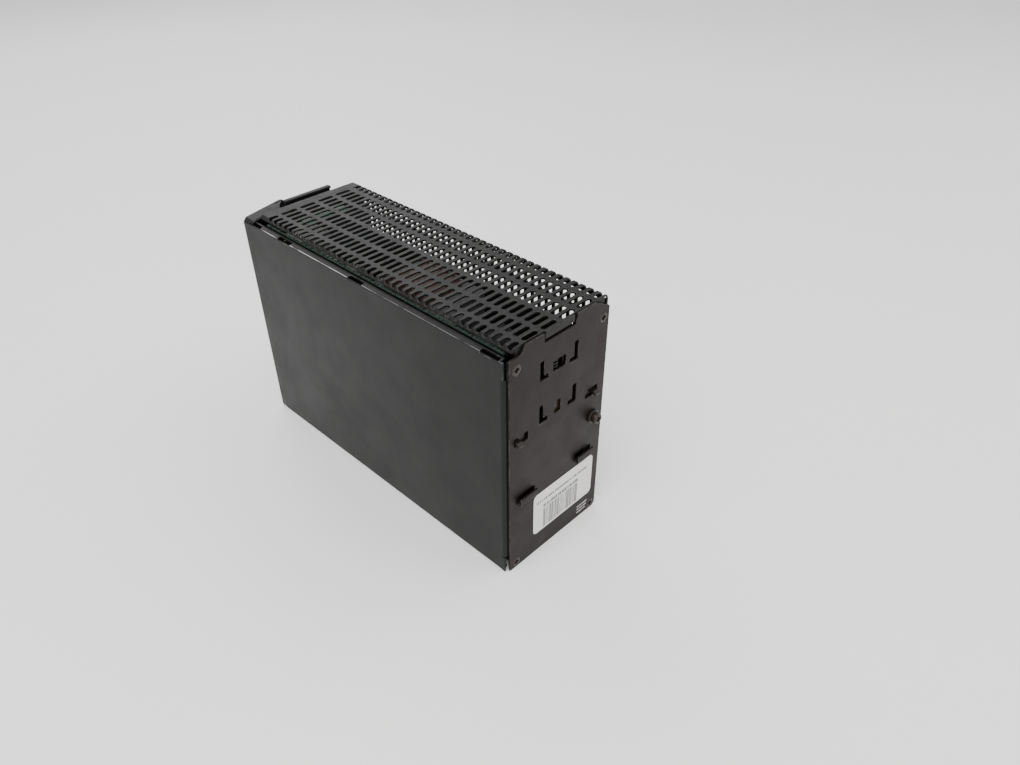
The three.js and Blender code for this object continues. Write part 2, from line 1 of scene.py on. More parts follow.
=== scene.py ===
"""A DIN rail power supply in a plain studio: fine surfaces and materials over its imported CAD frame.

Shapes are laid out in the case frame, in millimetres: x runs from the plain side to the vented
side, y forward from the rear plate's outer face and z up. CASE_TO_ROW takes them to the row frame.
A flat body is drawn in (u, v) with its thickness along w, and then laid into the case frame.
"""
import math
import random

import bmesh
import bpy
import numpy as np
from mathutils import Matrix, Vector, geometry


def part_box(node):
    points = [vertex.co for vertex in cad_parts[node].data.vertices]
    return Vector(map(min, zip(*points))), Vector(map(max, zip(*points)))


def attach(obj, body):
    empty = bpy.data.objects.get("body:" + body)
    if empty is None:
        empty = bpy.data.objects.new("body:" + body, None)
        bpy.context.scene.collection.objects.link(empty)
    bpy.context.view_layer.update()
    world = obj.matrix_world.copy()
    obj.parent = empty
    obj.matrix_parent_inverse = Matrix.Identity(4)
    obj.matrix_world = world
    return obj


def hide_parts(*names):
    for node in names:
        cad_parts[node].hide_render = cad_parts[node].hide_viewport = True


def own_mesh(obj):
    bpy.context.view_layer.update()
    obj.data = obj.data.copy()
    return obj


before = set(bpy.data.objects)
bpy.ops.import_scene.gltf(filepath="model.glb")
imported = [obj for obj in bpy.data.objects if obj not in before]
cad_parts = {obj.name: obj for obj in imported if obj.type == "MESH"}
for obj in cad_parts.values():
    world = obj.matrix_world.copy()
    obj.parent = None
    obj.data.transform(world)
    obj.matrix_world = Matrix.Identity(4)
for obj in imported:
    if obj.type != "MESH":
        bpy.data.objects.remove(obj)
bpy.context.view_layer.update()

MM = 0.001
PLAIN_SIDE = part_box("side_panel")[1].x
REAR_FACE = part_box("corner_screw_1")[1].y
CASE_TO_ROW = Matrix.Translation((PLAIN_SIDE, REAR_FACE, 0)) @ Matrix.Diagonal((-MM, -MM, MM, 1))
X, Y, Z = Vector((1, 0, 0)), Vector((0, 1, 0)), Vector((0, 0, 1))


def span(node):
    """A CAD node's box in the case frame: its x, y and z ranges in millimetres."""
    low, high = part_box(node)
    x = ((PLAIN_SIDE - high.x) / MM, (PLAIN_SIDE - low.x) / MM)
    y = ((REAR_FACE - high.y) / MM, (REAR_FACE - low.y) / MM)
    z = (low.z / MM, high.z / MM)
    return [tuple(round(v, 3) for v in pair) for pair in (x, y, z)]


def middle(pair):
    return (pair[0] + pair[1]) / 2


def seat(node):
    """Where a node sits in x and z: the middle of its box."""
    x, _, z = span(node)
    return middle(x), middle(z)


# ---------------------------------------------------------------- the case's driving dimensions
SHEET = 1.0
GAP = 0.3
WIDTH = span("vented_cover")[0][1]
SIDE_TOP = span("side_panel")[2][1]
COVER_TOP = span("vented_cover")[2][1]
CASE_END = span("vented_cover")[1][1]
CENTRE_X = middle(span("latch_slider")[0])
VENT = {"count": 39, "first": 3.2, "pitch": 4.4, "width": 2.6, "length": 8.9, "row_pitch": 11.25}
TOP_ROW = 17.1
SIDE_ROW = 116.5
CORNER_SCREWS = [seat(f"corner_screw_{i}") for i in (1, 2, 3, 4)]
GROUND_SCREW = seat("ground_washer")
HOOK_Z = 41.2
BEAK_Z = 76.2


# ---------------------------------------------------------------- outlines in (u, v)
SHARP_BELOW = 0.25  # a smaller corner radius than this is left to the chamfer


def rounded(corners, radius=0.0, steps=4):
    """A closed outline with its corners rounded. A corner may bring its own radius third."""
    points = []
    for i, corner in enumerate(corners):
        here = Vector(corner[:2])
        wanted = corner[2] if len(corner) > 2 else radius
        before = Vector(corners[i - 1][:2]) - here
        after = Vector(corners[(i + 1) % len(corners)][:2]) - here
        half = before.angle(after) / 2
        if wanted < SHARP_BELOW:
            points.append(here)
            continue
        reach = min(wanted / math.tan(half), 0.49 * before.length, 0.49 * after.length)
        r = reach * math.tan(half)
        centre = here + (before.normalized() + after.normalized()).normalized() * (r / math.sin(half))
        start = here + before.normalized() * reach - centre
        end = here + after.normalized() * reach - centre
        first = math.atan2(start.y, start.x)
        turn = (math.atan2(end.y, end.x) - first + math.pi) % (2 * math.pi) - math.pi
        for k in range(steps + 1):
            a = first + turn * k / steps
            points.append(centre + r * Vector((math.cos(a), math.sin(a))))
    return points


def rectangle(u, v, radius=0.0, steps=3):
    return rounded([(u[0], v[0]), (u[1], v[0]), (u[1], v[1]), (u[0], v[1])], radius, steps)


def angles(count):
    """Evenly spaced angles round a full turn."""
    return [2 * math.pi * k / count for k in range(count)]


def circle(u, v, radius, sides=24):
    return [Vector((u + radius * math.cos(a), v + radius * math.sin(a))) for a in angles(sides)]


def cross(u, v, reach, half, steps=2):
    """The outline of a cross recess."""
    corners = []
    for a in angles(4):
        cos, sin = math.cos(a), math.sin(a)
        for along, aside in ((reach, -half), (reach, half), (half * 1.4, half * 1.4)):
            corners.append((u + along * cos - aside * sin, v + along * sin + aside * cos))
    return rounded(corners, half * 0.6, steps)


def signed_area(loop):
    return sum(a.x * b.y - b.x * a.y for a, b in zip(loop, loop[1:] + loop[:1])) / 2


def drawn_in(loop, distance):
    """The loop moved to its left, which is the side that the material is on."""
    moved = []
    for i, here in enumerate(loop):
        a = (here - loop[i - 1]).normalized()
        b = (loop[(i + 1) % len(loop)] - here).normalized()
        left = Vector((-a.y, a.x))
        mitre = (left + Vector((-b.y, b.x))).normalized()
        moved.append(here + mitre * (distance / max(0.35, mitre.dot(left))))
    return moved


def filled(loops):
    """Triangles between an outline and its holes, as indices into the loops' points in order."""
    points, faces = [], []
    for loop in loops:
        indices = list(range(len(points), len(points) + len(loop)))
        points += loop
        faces.append(indices if not faces else indices[::-1])
    _, _, triangles, origin, _, within = geometry.delaunay_2d_cdt(points, [], faces, 1, 1e-6, True)
    return [[origin[i][0] for i in t] for t, inside in zip(triangles, within) if inside == [0]]


# ---------------------------------------------------------------- closed bodies
def empty_body():
    bm = bmesh.new()
    bm.faces.layers.float.new("wear")
    return bm


def bridge(bm, a, b):
    """Faces between two rings of as many points each."""
    return [bm.faces.new((a[i - 1], a[i], b[i], b[i - 1])) for i in range(len(a))]


def crisp(depth, chamfer=0.12):
    """Levels of a sheet whose two edges are broken by a small chamfer."""
    return [(chamfer, 0), (0, chamfer), (0, depth - chamfer), (chamfer, depth)]


def soft(depth, radius, steps, back=None):
    """Levels of a moulding with round edges. back is the radius of the edge at its start."""
    back = radius if back is None else back
    quarter = [math.pi / 2 * k / steps for k in range(steps + 1)]
    low = [(back * (1 - math.sin(a)), back * (1 - math.cos(a))) for a in quarter]
    high = [(radius * (1 - math.sin(a)), depth - radius * (1 - math.cos(a))) for a in reversed(quarter)]
    return low + high


def plate(outline, holes, levels, hole_share=1.0):
    """A closed body from an outline and its holes. Each level is how far its edge is drawn in, and its w.

    hole_share is how much of that the holes' edges are drawn in.
    """
    loops = [outline if signed_area(outline) > 0 else outline[::-1]]
    loops += [hole if signed_area(hole) < 0 else hole[::-1] for hole in holes]
    bm = empty_body()
    wear = bm.faces.layers.float["wear"]
    rings = []
    for inward, w in levels:
        drawn = [drawn_in(loop, inward * (hole_share if i else 1)) for i, loop in enumerate(loops)]
        rings.append([[bm.verts.new((p.x, p.y, w)) for p in loop] for loop in drawn])
    for step, (below, above) in enumerate(zip(rings, rings[1:])):
        broken = abs(levels[step][0] - levels[step + 1][0]) > 1e-6
        for a, b in zip(below, above):
            for face in bridge(bm, a, b):
                face[wear] = float(broken)
    for ring, flip in ((rings[0], True), (rings[-1], False)):
        verts = [v for loop in ring for v in loop]
        for corners in filled([[v.co.xy for v in loop] for loop in ring]):
            face = [verts[i] for i in corners]
            bm.faces.new(face[::-1] if flip else face)
    return bm


def bend(bm, folds):
    """Folds a flat sheet about lines across u or v, the outermost fold first; w = 0 is outside the bends.

    Each fold is (axis, where it starts, which way, outer radius, degrees).
    """
    for axis, line, way, radius, degrees in folds:
        length = radius * math.radians(degrees)
        steps = max(3, round(degrees / 15))
        normal = Vector((0, 0, 0))
        normal[axis] = 1
        for k in range(steps + 1):
            at = normal * (line + way * length * k / steps)
            parts = bm.verts[:] + bm.edges[:] + bm.faces[:]
            bmesh.ops.bisect_plane(bm, geom=parts, dist=1e-5, plane_co=at, plane_no=normal)
    flat = np.array([v.co for v in bm.verts])
    now = flat.copy()
    for axis, line, way, radius, degrees in folds:
        beyond = (flat[:, axis] - line) * way
        moving = beyond > 1e-6
        shift = np.minimum(beyond, radius * math.radians(degrees))[moving]
        angle = shift / radius
        along = (now[moving, axis] - line) * way - shift
        out = now[moving, 2] - radius
        now[moving, axis] = line + way * (along * np.cos(angle) - out * np.sin(angle))
        now[moving, 2] = radius + along * np.sin(angle) + out * np.cos(angle)
    for vert, place in zip(bm.verts, now):
        vert.co = place
    return bm


def lay(bm, u, v, w, origin=(0, 0, 0)):
    """Turns a body's u, v and w into directions of the case frame."""
    matrix = Matrix((u, v, w)).transposed().to_4x4()
    matrix.translation = origin
    bm.transform(matrix)
    return bm


def slab(axis, at, outline, holes, levels, hole_share=1.0):
    """A plate that starts at a place on one axis of the case frame and grows along it."""
    directions = {"x": (Y, Z, X), "y": (X, Z, Y), "z": (X, Y, Z)}[axis]
    return lay(plate(outline, holes, levels, hole_share), *directions, directions[2] * at)


def panel(axis, extent, outline, chamfer=0.12, holes=()):
    """A crisp sheet that fills an extent along one axis of the case frame."""
    return slab(axis, extent[0], outline, list(holes), crisp(extent[1] - extent[0], chamfer))


def printed(y, outline, depth):
    """A flat mark of ink on a face across y."""
    return slab("y", y, outline, [], [(0, 0), (0, depth)])


def joined(bodies):
    """Several closed bodies as one."""
    whole = bodies[0]
    for body in bodies[1:]:
        mesh = bpy.data.meshes.new("part")
        body.to_mesh(mesh)
        body.free()
        whole.from_mesh(mesh)
        bpy.data.meshes.remove(mesh)
    return whole


def block(x, y, z, edge=0.3, up=Z, steps=2):
    """A box with round edges between two corners of the case frame. up is the way it is built."""
    corner = 1.35 * edge
    if up == X:
        return slab("x", x[0], rectangle(y, z, corner, steps), [], soft(x[1] - x[0], edge, steps))
    if up == Y:
        body = plate(rectangle(z, x, corner, steps), [], soft(y[1] - y[0], edge, steps))
        return lay(body, Z, X, Y, (0, y[0], 0))
    return slab("z", z[0], rectangle(x, y, corner, steps), [], soft(z[1] - z[0], edge, steps))


def turned(profile, axis, centre, sides=32):
    """A body of revolution. The profile is (radius, distance along the axis), and it ends on the axis."""
    bm = empty_body()
    rings = []
    for radius, along in profile:
        if radius < 1e-6:
            rings.append([bm.verts.new((0, 0, along))])
        else:
            rings.append([bm.verts.new((p.x, p.y, along)) for p in circle(0, 0, radius, sides)])
    for a, b in zip(rings, rings[1:]):
        if len(a) == len(b):
            bridge(bm, a, b)
            continue
        for i in range(sides):
            bm.faces.new((a[0], b[i], b[i - 1]) if len(a) == 1 else (a[i - 1], a[i], b[0]))
    first = {"x": (Y, Z, X), "y": (Z, X, Y), "z": (X, Y, Z)}[axis]
    return lay(bm, *first, centre)


def tube(path, radius, sides=8, closed=False):
    """A round wire along a path of points in the case frame."""
    points = [Vector(p) for p in path]
    count = len(points)
    bm = empty_body()
    side = None
    rings = []
    for i, here in enumerate(points):
        ahead = points[(i + 1) % count] if closed or i + 1 < count else here
        behind = points[i - 1] if closed or i else here
        along = (ahead - behind).normalized()
        side = along.orthogonal() if side is None else side - along * side.dot(along)
        side.normalize()
        other = along.cross(side)
        ring = [here + radius * (side * math.cos(a) + other * math.sin(a)) for a in angles(sides)]
        rings.append([bm.verts.new(point) for point in ring])
    pairs = list(zip(rings, rings[1:]))
    if closed:
        # the last ring meets the first with the least twist
        last, first = rings[-1], rings[0]
        shift = min(range(sides), key=lambda s: (last[0].co - first[s].co).length)
        pairs.append((last, first[shift:] + first[:shift]))
    for a, b in pairs:
        bridge(bm, a, b)
    if not closed:
        bm.faces.new(rings[0][::-1])
        bm.faces.new(rings[-1])
    return bm


def turn_outwards(bm):
    """Turns the faces of every closed body in the mesh outwards, also on a thin bent sheet."""
    bmesh.ops.recalc_face_normals(bm, faces=bm.faces)
    left = set(bm.faces)
    while left:
        body, found = [], [left.pop()]
        while found:
            face = found.pop()
            body.append(face)
            beside = {other for edge in face.edges for other in edge.link_faces} & left
            left -= beside
            found += beside
        volume = 0.0
        for face in body:
            first, *rest = [v.co for v in face.verts]
            volume += sum(first.dot(a.cross(b)) for a, b in zip(rest, rest[1:]))
        if volume < 0:
            bmesh.ops.reverse_faces(bm, faces=body)


def piece(name, shape, finish, stands_for=None, body="case", sharp=35):
    """Makes a closed body, or a list of them, into a piece of the object that rides on a CAD body.

    finish names one of LOOKS, and stands_for is the CAD node that the piece replaces.
    """
    bm = joined(shape) if isinstance(shape, list) else shape
    turn_outwards(bm)
    bm.transform(CASE_TO_ROW)
    mesh = bpy.data.meshes.new(name)
    bm.to_mesh(mesh)
    bm.free()
    mesh.shade_smooth()
    mesh.set_sharp_from_angle(angle=math.radians(sharp))
    mesh.materials.append(LOOKS[finish])
    obj = bpy.data.objects.new(name, mesh)
    bpy.context.scene.collection.objects.link(obj)
    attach(obj, body)
    if stands_for:
        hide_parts(stands_for)
    return obj


# ---------------------------------------------------------------- materials
def add_node(tree, kind, inputs=None, **settings):
    made = tree.nodes.new(kind)
    for key, value in settings.items():
        setattr(made, key, value)
    for key, value in (inputs or {}).items():
        socket = made.inputs[key]
        if isinstance(value, bpy.types.NodeSocket):
            tree.links.new(value, socket)
        else:
            socket.default_value = value
    return made


def noise(tree, place, scale, detail=4.0, rough=0.55):
    inputs = {"Vector": place, "Scale": scale, "Detail": detail, "Roughness": rough}
    return add_node(tree, "ShaderNodeTexNoise", inputs).outputs["Fac"]


def remap(tree, value, low, high, to_low=0.0, to_high=1.0):
    inputs = {"Value": value, "From Min": low, "From Max": high, "To Min": to_low, "To Max": to_high}
    return add_node(tree, "ShaderNodeMapRange", inputs).outputs["Result"]


def math_node(tree, operation, a, b):
    return add_node(tree, "ShaderNodeMath", {0: a, 1: b}, operation=operation).outputs[0]


def product(tree, first, *others):
    for other in others:
        first = math_node(tree, "MULTIPLY", first, other)
    return first


def mixed(tree, factor, a, b):
    """Colour a, turning to colour b where the factor is 1."""
    rgba = lambda c: (*c, 1.0) if isinstance(c, tuple) and len(c) == 3 else c
    return add_node(tree, "ShaderNodeMix", {0: factor, 6: rgba(a), 7: rgba(b)}, data_type="RGBA").outputs[2]


def shade(colour, factor):
    return tuple(min(1.0, c * factor) for c in colour)


LOOKS = {}


def look(name, colour, roughness, metallic=0.0, mottle=0.12, patch=45.0, uneven=0.06,
         grain=0.0, grain_scale=2600.0, wear=None, dust=0.0, extra=None, **gloss):
    """Enters a procedural finish in LOOKS: mottled colour, uneven gloss, a fine grain, worn edges and dust.

    wear is (colour, how much) on faces marked as broken edges; extra(tree, place, colour) may paint more.
    """
    material = bpy.data.materials.new(name)
    material.use_nodes = True
    tree = material.node_tree
    shader = tree.nodes["Principled BSDF"]
    place = add_node(tree, "ShaderNodeTexCoord").outputs["Object"]
    broad = noise(tree, place, patch)
    tone = mixed(tree, remap(tree, broad, 0.3, 0.7), shade(colour, 1 - mottle), shade(colour, 1 + mottle))
    speck = noise(tree, place, patch * 14, 3)
    tone = mixed(tree, remap(tree, speck, 0.35, 0.75, 0, 0.5), tone, shade(colour, 1 + mottle * 1.6))
    if extra:
        tone = extra(tree, place, tone)
    if dust:
        normal = add_node(tree, "ShaderNodeNewGeometry").outputs["Normal"]
        upward = add_node(tree, "ShaderNodeSeparateXYZ", {"Vector": normal}).outputs["Z"]
        settled = product(tree, remap(tree, upward, 0.3, 1.0, 0.25, 1.0), remap(tree, speck, 0.4, 0.8), dust)
        tone = mixed(tree, settled, tone, (0.42, 0.40, 0.37))
    if wear:
        worn_colour, amount = wear
        mark = add_node(tree, "ShaderNodeAttribute", attribute_name="wear").outputs["Fac"]
        patchy = remap(tree, noise(tree, place, 180, 5, 0.7), 0.62 - 0.35 * amount, 0.72 - 0.2 * amount)
        tone = mixed(tree, product(tree, mark, patchy), tone, worn_colour)
    tree.links.new(tone, shader.inputs["Base Color"])
    gloss_map = noise(tree, place, patch * 2.3, 5)
    rough = remap(tree, gloss_map, 0.3, 0.7, roughness - uneven, roughness + uneven)
    tree.links.new(rough, shader.inputs["Roughness"])
    shader.inputs["Metallic"].default_value = metallic
    if grain:
        height = noise(tree, place, grain_scale, 2)
        bump = add_node(tree, "ShaderNodeBump", {"Height": height, "Strength": grain, "Distance": 0.00012})
        tree.links.new(bump.outputs["Normal"], shader.inputs["Normal"])
    for key, value in gloss.items():
        shader.inputs[key.replace("_", " ")].default_value = value
    LOOKS[name] = material


def position(tree, place, axis):
    """One coordinate of the row frame, in metres."""
    return add_node(tree, "ShaderNodeSeparateXYZ", {"Vector": place}).outputs[axis]


def ramp(tree, place, axis, low, high, to_low=0.0, to_high=1.0, start=0.0):
    """A factor that changes between two places on an axis, given in millimetres from start."""
    return remap(tree, position(tree, place, axis), start + low * MM, start + high * MM, to_low, to_high)


def worn_top_edge(tree, place, tone):
    """Bare metal along the line where the side panel's top bend has rubbed, ending at the front notch."""
    line = product(
        tree,
        ramp(tree, place, "X", -0.44, -0.32, start=PLAIN_SIDE),
        ramp(tree, place, "X", -0.02, -0.12, start=PLAIN_SIDE),
        ramp(tree, place, "Z", -0.62, -0.5, start=SIDE_TOP * MM),
        ramp(tree, place, "Y", -20, 12, 1.0, 0.3),
        ramp(tree, place, "Y", -88, -84),
        remap(tree, noise(tree, place, 90, 6, 0.6), 0.36, 0.50),
    )
    return mixed(tree, line, tone, (0.36, 0.36, 0.35))


def brassy_foot(tree, place, tone):
    """The latch's stem keeps its yellow passivation at the foot, away from the hand."""
    side = add_node(tree, "ShaderNodeMath", {0: position(tree, place, "X")}, operation="ABSOLUTE").outputs[0]
    near_stem = remap(tree, side, 6.5 * MM, 5.5 * MM)
    return mixed(tree, product(tree, ramp(tree, place, "Z", 92, 88), near_stem), tone, (0.035, 0.022, 0.013))


def painted_board_shade(tree, place, tone):
    """Painted shade: the board's face towards the side panel and its rear end are painted nearly black, for
    the dark gaps they sit in.
    """
    facing = ramp(tree, place, "X", -4.12, -4.04, start=PLAIN_SIDE)
    rear = ramp(tree, place, "Y", -6.0, -5.4, start=REAR_FACE)
    return mixed(tree, math_node(tree, "MAXIMUM", facing, rear), tone, (0.003, 0.004, 0.0035))


def painted_neck_shade(tree, place, tone):
    """Painted shade: the cap's edge that slips under the case is painted near black, for the dark it lies in.
    """
    behind = ramp(tree, place, "Y", -184.95, -184.85, start=REAR_FACE)
    return mixed(tree, behind, tone, (0.0015, 0.0015, 0.0015))


look("cover", (0.0082, 0.0082, 0.0078), 0.46, grain=0.2, dust=0.015,
     wear=((0.06, 0.06, 0.056), 0.6), Specular_IOR_Level=0.155)
look("side", (0.0075, 0.0075, 0.0073), 0.42, grain=0.12, mottle=0.1, patch=22, uneven=0.05,
     wear=((0.10, 0.10, 0.097), 0.4), dust=0.01, extra=worn_top_edge, Specular_IOR_Level=0.15)
# rear: black paint like the side's, with a brown tint that is a painted reflection of the warm surroundings
look("rear", (0.0092, 0.0060, 0.0053), 0.42, grain=0.16, dust=0.01,
     wear=((0.10, 0.096, 0.09), 0.5), Specular_IOR_Level=0.13)
look("cap", (0.008, 0.008, 0.0075), 0.42, grain=0.35, grain_scale=1500, dust=0.02,
     wear=((0.05, 0.05, 0.047), 0.4), extra=painted_neck_shade, Specular_IOR_Level=0.17)
look("paper", (0.70, 0.69, 0.66), 0.55, mottle=0.03, patch=120, uneven=0.05)
look("ink", (0.10, 0.10, 0.10), 0.6, mottle=0.3, patch=700)
look("white_ink", (0.42, 0.42, 0.41), 0.6, mottle=0.25, patch=500)
look("zinc", (0.011, 0.0085, 0.007), 0.42, 0.2, mottle=0.35, patch=160, uneven=0.1,
     wear=((0.04, 0.034, 0.028), 0.4), extra=brassy_foot, Specular_IOR_Level=0.3)
look("screw", (0.022, 0.015, 0.012), 0.42, 0.4, mottle=0.4, patch=300, uneven=0.1,
     wear=((0.05, 0.040, 0.034), 0.5))
# recess is painted shade: the screws' recess floors and shanks are painted near black where the cross recess
# lies in the dark
look("recess", (0.004, 0.003, 0.0028), 0.6, mottle=0.3, patch=300, Specular_IOR_Level=0.1)
look("washer", (0.013, 0.010, 0.008), 0.45, 0.3, mottle=0.35, patch=260, uneven=0.1,
     wear=((0.04, 0.034, 0.028), 0.5))
# spring: the steel coil is painted near black, painted shade for the dark inside the case
look("spring", (0.045, 0.045, 0.04), 0.4, 0.8, mottle=0.15, patch=200)
look("nickel", (0.40, 0.38, 0.34), 0.33, 0.95, mottle=0.22, patch=260, uneven=0.1,
     wear=((0.62, 0.6, 0.56), 0.6))
look("flap", (0.008, 0.0078, 0.0072), 0.42, grain=0.3, grain_scale=1700, dust=0.02,
     wear=((0.05, 0.05, 0.047), 0.4), Specular_IOR_Level=0.17)
look("terminal", (0.03, 0.14, 0.07), 0.42, mottle=0.08, patch=120, grain=0.15)
look("lens", (0.08, 0.55, 0.16), 0.16, mottle=0.1, patch=300, Coat_Weight=0.5)
look("blue", (0.02, 0.09, 0.32), 0.42, mottle=0.1, patch=200, grain=0.15)
look("white", (0.72, 0.71, 0.67), 0.42, mottle=0.05, patch=200, grain=0.1)
look("black", (0.014, 0.014, 0.015), 0.45, mottle=0.2, patch=200, grain=0.3, dust=0.1)
look("red", (0.42, 0.03, 0.02), 0.40, mottle=0.1, patch=200, grain=0.12)
look("board", (0.010, 0.025, 0.018), 0.45, mottle=0.5, patch=330, uneven=0.08,
     wear=((0.024, 0.040, 0.030), 0.5), extra=painted_board_shade, Specular_IOR_Level=0.2)
look("lumps", (0.020, 0.030, 0.023), 0.5, 0.2, mottle=0.5, patch=500, uneven=0.1)
look("relay", (0.030, 0.030, 0.032), 0.45, mottle=0.1, patch=120, grain=0.15, dust=0.08)
look("solder", (0.16, 0.17, 0.155), 0.4, 0.8, mottle=0.2, patch=400)
look("resistor", (0.060, 0.045, 0.032), 0.5, mottle=0.2, patch=500)
look("film", (0.55, 0.50, 0.36), 0.45, mottle=0.06, patch=60)
# sleeve: near black; on the third output can it is painted shade
look("sleeve", (0.009, 0.010, 0.011), 0.4, mottle=0.15, patch=120, dust=0.03,
     Specular_IOR_Level=0.2)
look("brown", (0.045, 0.020, 0.012), 0.4, mottle=0.15, patch=150, dust=0.05)
look("bare", (0.50, 0.50, 0.50), 0.38, 1.0, mottle=0.1, patch=300)
look("sink", (0.42, 0.43, 0.43), 0.42, 0.95, mottle=0.12, patch=90, uneven=0.08, dust=0.15,
     wear=((0.6, 0.6, 0.6), 0.5))
look("ferrite", (0.045, 0.045, 0.048), 0.62, mottle=0.2, patch=160, grain=0.3, dust=0.15)
look("tape", (0.070, 0.030, 0.024), 0.45, mottle=0.18, patch=110, dust=0.05)
look("bobbin", (0.50, 0.49, 0.45), 0.5, mottle=0.06, patch=150, dust=0.1)
look("copper", (0.36, 0.13, 0.05), 0.3, 0.85, mottle=0.15, patch=300)
look("drab", (0.08, 0.088, 0.075), 0.55, mottle=0.12, patch=150, grain=0.2, dust=0.1)
look("drab_wire", (0.115, 0.117, 0.10), 0.45, mottle=0.15, patch=250, dust=0.06)
look("drab_box", (0.080, 0.072, 0.060), 0.5, mottle=0.1, patch=120, dust=0.06)
look("film_box", (0.115, 0.115, 0.098), 0.5, mottle=0.08, patch=120, grain=0.15, dust=0.06)
look("glass", (0.62, 0.66, 0.64), 0.1, mottle=0.05, patch=200, uneven=0.03,
     Transmission_Weight=0.5)
look("disc", (0.03, 0.08, 0.22), 0.38, mottle=0.15, patch=200, grain=0.15)
look("floor", (0.88, 0.87, 0.86), 0.6, mottle=0.01, patch=3, uneven=0.04)


# ---------------------------------------------------------------- sheet-metal case
LANES = [VENT["first"] + k * VENT["pitch"] for k in range(VENT["count"])]


def slot_row(centre, axis_length=VENT["length"], lanes=LANES):
    """One row of vents: each slot is long across the sheet."""
    half = axis_length / 2
    wide = VENT["width"] / 2
    return [rectangle((centre - half, centre + half), (y - wide, y + wide), wide, 5) for y in lanes]


def lug(outline, holes=(), y=SHEET + GAP + 0.05):
    """A lug of the bent sheets that lies behind the rear plate."""
    return slab("y", y, outline, list(holes), crisp(0.9))


def vented_cover():
    """Bent from one sheet: a slotted lip, the flat top, the far wall and the bottom with its lugs."""
    top_bend, foot_bend, lip_bend = 3.0, 1.6, 1.3
    lip_at, lip_angle, lip_length = 6.42, 64.5, 2.97
    wall_start = WIDTH - top_bend
    wall = wall_start + top_bend * math.pi / 2 + COVER_TOP - top_bend  # u of a height z is wall - z
    foot = wall - foot_bend
    end = foot + foot_bend * math.pi / 2 + WIDTH - foot_bend - 6.5
    front_lip = 178.0
    back = SHEET + GAP
    side = wall - 119.0
    near = lip_at - lip_length
    outline = rounded([
        (near, back, 0.27), (23.3, back), (23.3, 0.1, 0.5), (41.5, 0.1, 0.5), (41.5, back),
        (end, back, 0.5), (end, CASE_END, 0.5), (side, CASE_END), (side, front_lip),
        (near, front_lip, 0.5),
    ], 0.3)
    row = VENT["row_pitch"]
    slots = slot_row(middle((near + 0.85, 10.5)), 10.5 - near - 0.85)
    slots += [s for k in range(4) for s in slot_row(TOP_ROW + k * row)]
    slots += slot_row(middle((58.0, wall - (COVER_TOP - top_bend - 0.2))))
    slots += [s for k in range(2) for s in slot_row(wall - SIDE_ROW + k * row, lanes=LANES[1:])]
    sheet = plate(outline, slots, crisp(SHEET, 0.14))
    bend(sheet, [
        (0, foot, 1, foot_bend, 90),
        (0, wall_start, 1, top_bend, 90),
        (0, lip_at, -1, lip_bend, lip_angle),
    ])
    lay(sheet, X, Y, -Z, (0, 0, COVER_TOP))
    inside = WIDTH - 0.6
    flange = rounded([
        (inside, 1.2), (inside, 117), (55, 117), (55, 103), (60.4, 103), (60.4, 69), (55, 69), (55, 1.2),
    ], 0.8)
    holes = [circle(*screw, 1.5, 12) for screw in (CORNER_SCREWS[1], CORNER_SCREWS[3])]
    holes.append(circle(*GROUND_SCREW, 2, 16))
    bodies = [sheet, lug(flange, holes)]
    bodies.append(lug(rectangle((6.6, 12.5), (119.9, 124.1), 0.4)))
    bodies.append(lug(rectangle((54, 62.6), (116.9, 124.1), 0.4)))
    bodies.append(lug(rectangle((23.4, 41.4), (121.6, 124.5), 0.4), y=0.12))
    piece("cover_shell", bodies, "cover", "vented_cover")


def side_panel():
    """The plain side with its top, bottom and rear flanges, bent from one sheet."""
    rear_bend, edge_bend = 1.9, 1.1
    back = SHEET + GAP
    fold_y = back + rear_bend
    top = SIDE_TOP - edge_bend
    flange = lambda x: x - edge_bend + edge_bend * math.pi / 2  # developed width of a flange x wide
    rear = lambda x: fold_y - (x - rear_bend) - rear_bend * math.pi / 2
    low_edge = edge_bend - flange(3.7)
    outline = rounded([
        (rear(4.6), 9.5, 0.8), (fold_y, 9.5, 0.3), (fold_y, edge_bend, 0.3), (fold_y, low_edge, 0.6),
        (183, low_edge, 0.6), (183, edge_bend - 0.5), (CASE_END, edge_bend, 0.3),
        (CASE_END, top + flange(3.2), 0.5), (fold_y, top + flange(3.2), 0.5), (fold_y, 111.6, 0.3),
        (rear(4.6), 111.6, 0.8),
    ], 0.2)
    notch_z = (top + 0.05, top + flange(2.4))
    notch_y = ((4.1, 14.3), (89.8, 100.2), (146.2, 156.8), (172.6, 182.4))
    notches = [rectangle(y, notch_z, 0.35) for y in notch_y]
    flat = plate(outline, notches, crisp(SHEET, 0.14))
    bend(flat, [
        (0, fold_y, -1, rear_bend, 90),
        (1, top, 1, edge_bend, 90),
        (1, edge_bend, -1, edge_bend, 90),
    ])
    lay(flat, Y, Z, X)
    lugs = []
    for z, start, screw in (((103, 119.5), 2.3, CORNER_SCREWS[0]), ((back, 69), 3.4, CORNER_SCREWS[2])):
        hole = circle(*screw, 1.3, 12)
        lugs.append(lug(rectangle((start, 12), z, 0.8), [hole]))
    for z in ((0.4, 9.45), (111.65, SIDE_TOP - 0.4)):
        lugs.append(slab("x", 0.02, rectangle((1.5, fold_y + 0.3), z, 0.3), [], crisp(0.96)))
    piece("side_shell", [flat] + lugs, "side", "side_panel")


def mirror_pair(low, high):
    """The same x range on both sides of the latch's centre line."""
    return [(low, high), (2 * CENTRE_X - high, 2 * CENTRE_X - low)]


def l_slot(z0, z1, way):
    """An L-shaped opening beside the latch, its foot turned to the middle."""
    u = lambda offset: CENTRE_X + way * offset
    foot = z0 + 2.4
    corners = [(u(12), z0), (u(12), z1), (u(9.6), z1), (u(9.6), foot), (u(6.7), foot), (u(6.7), z0)]
    return rounded(corners, 0.3, 2)


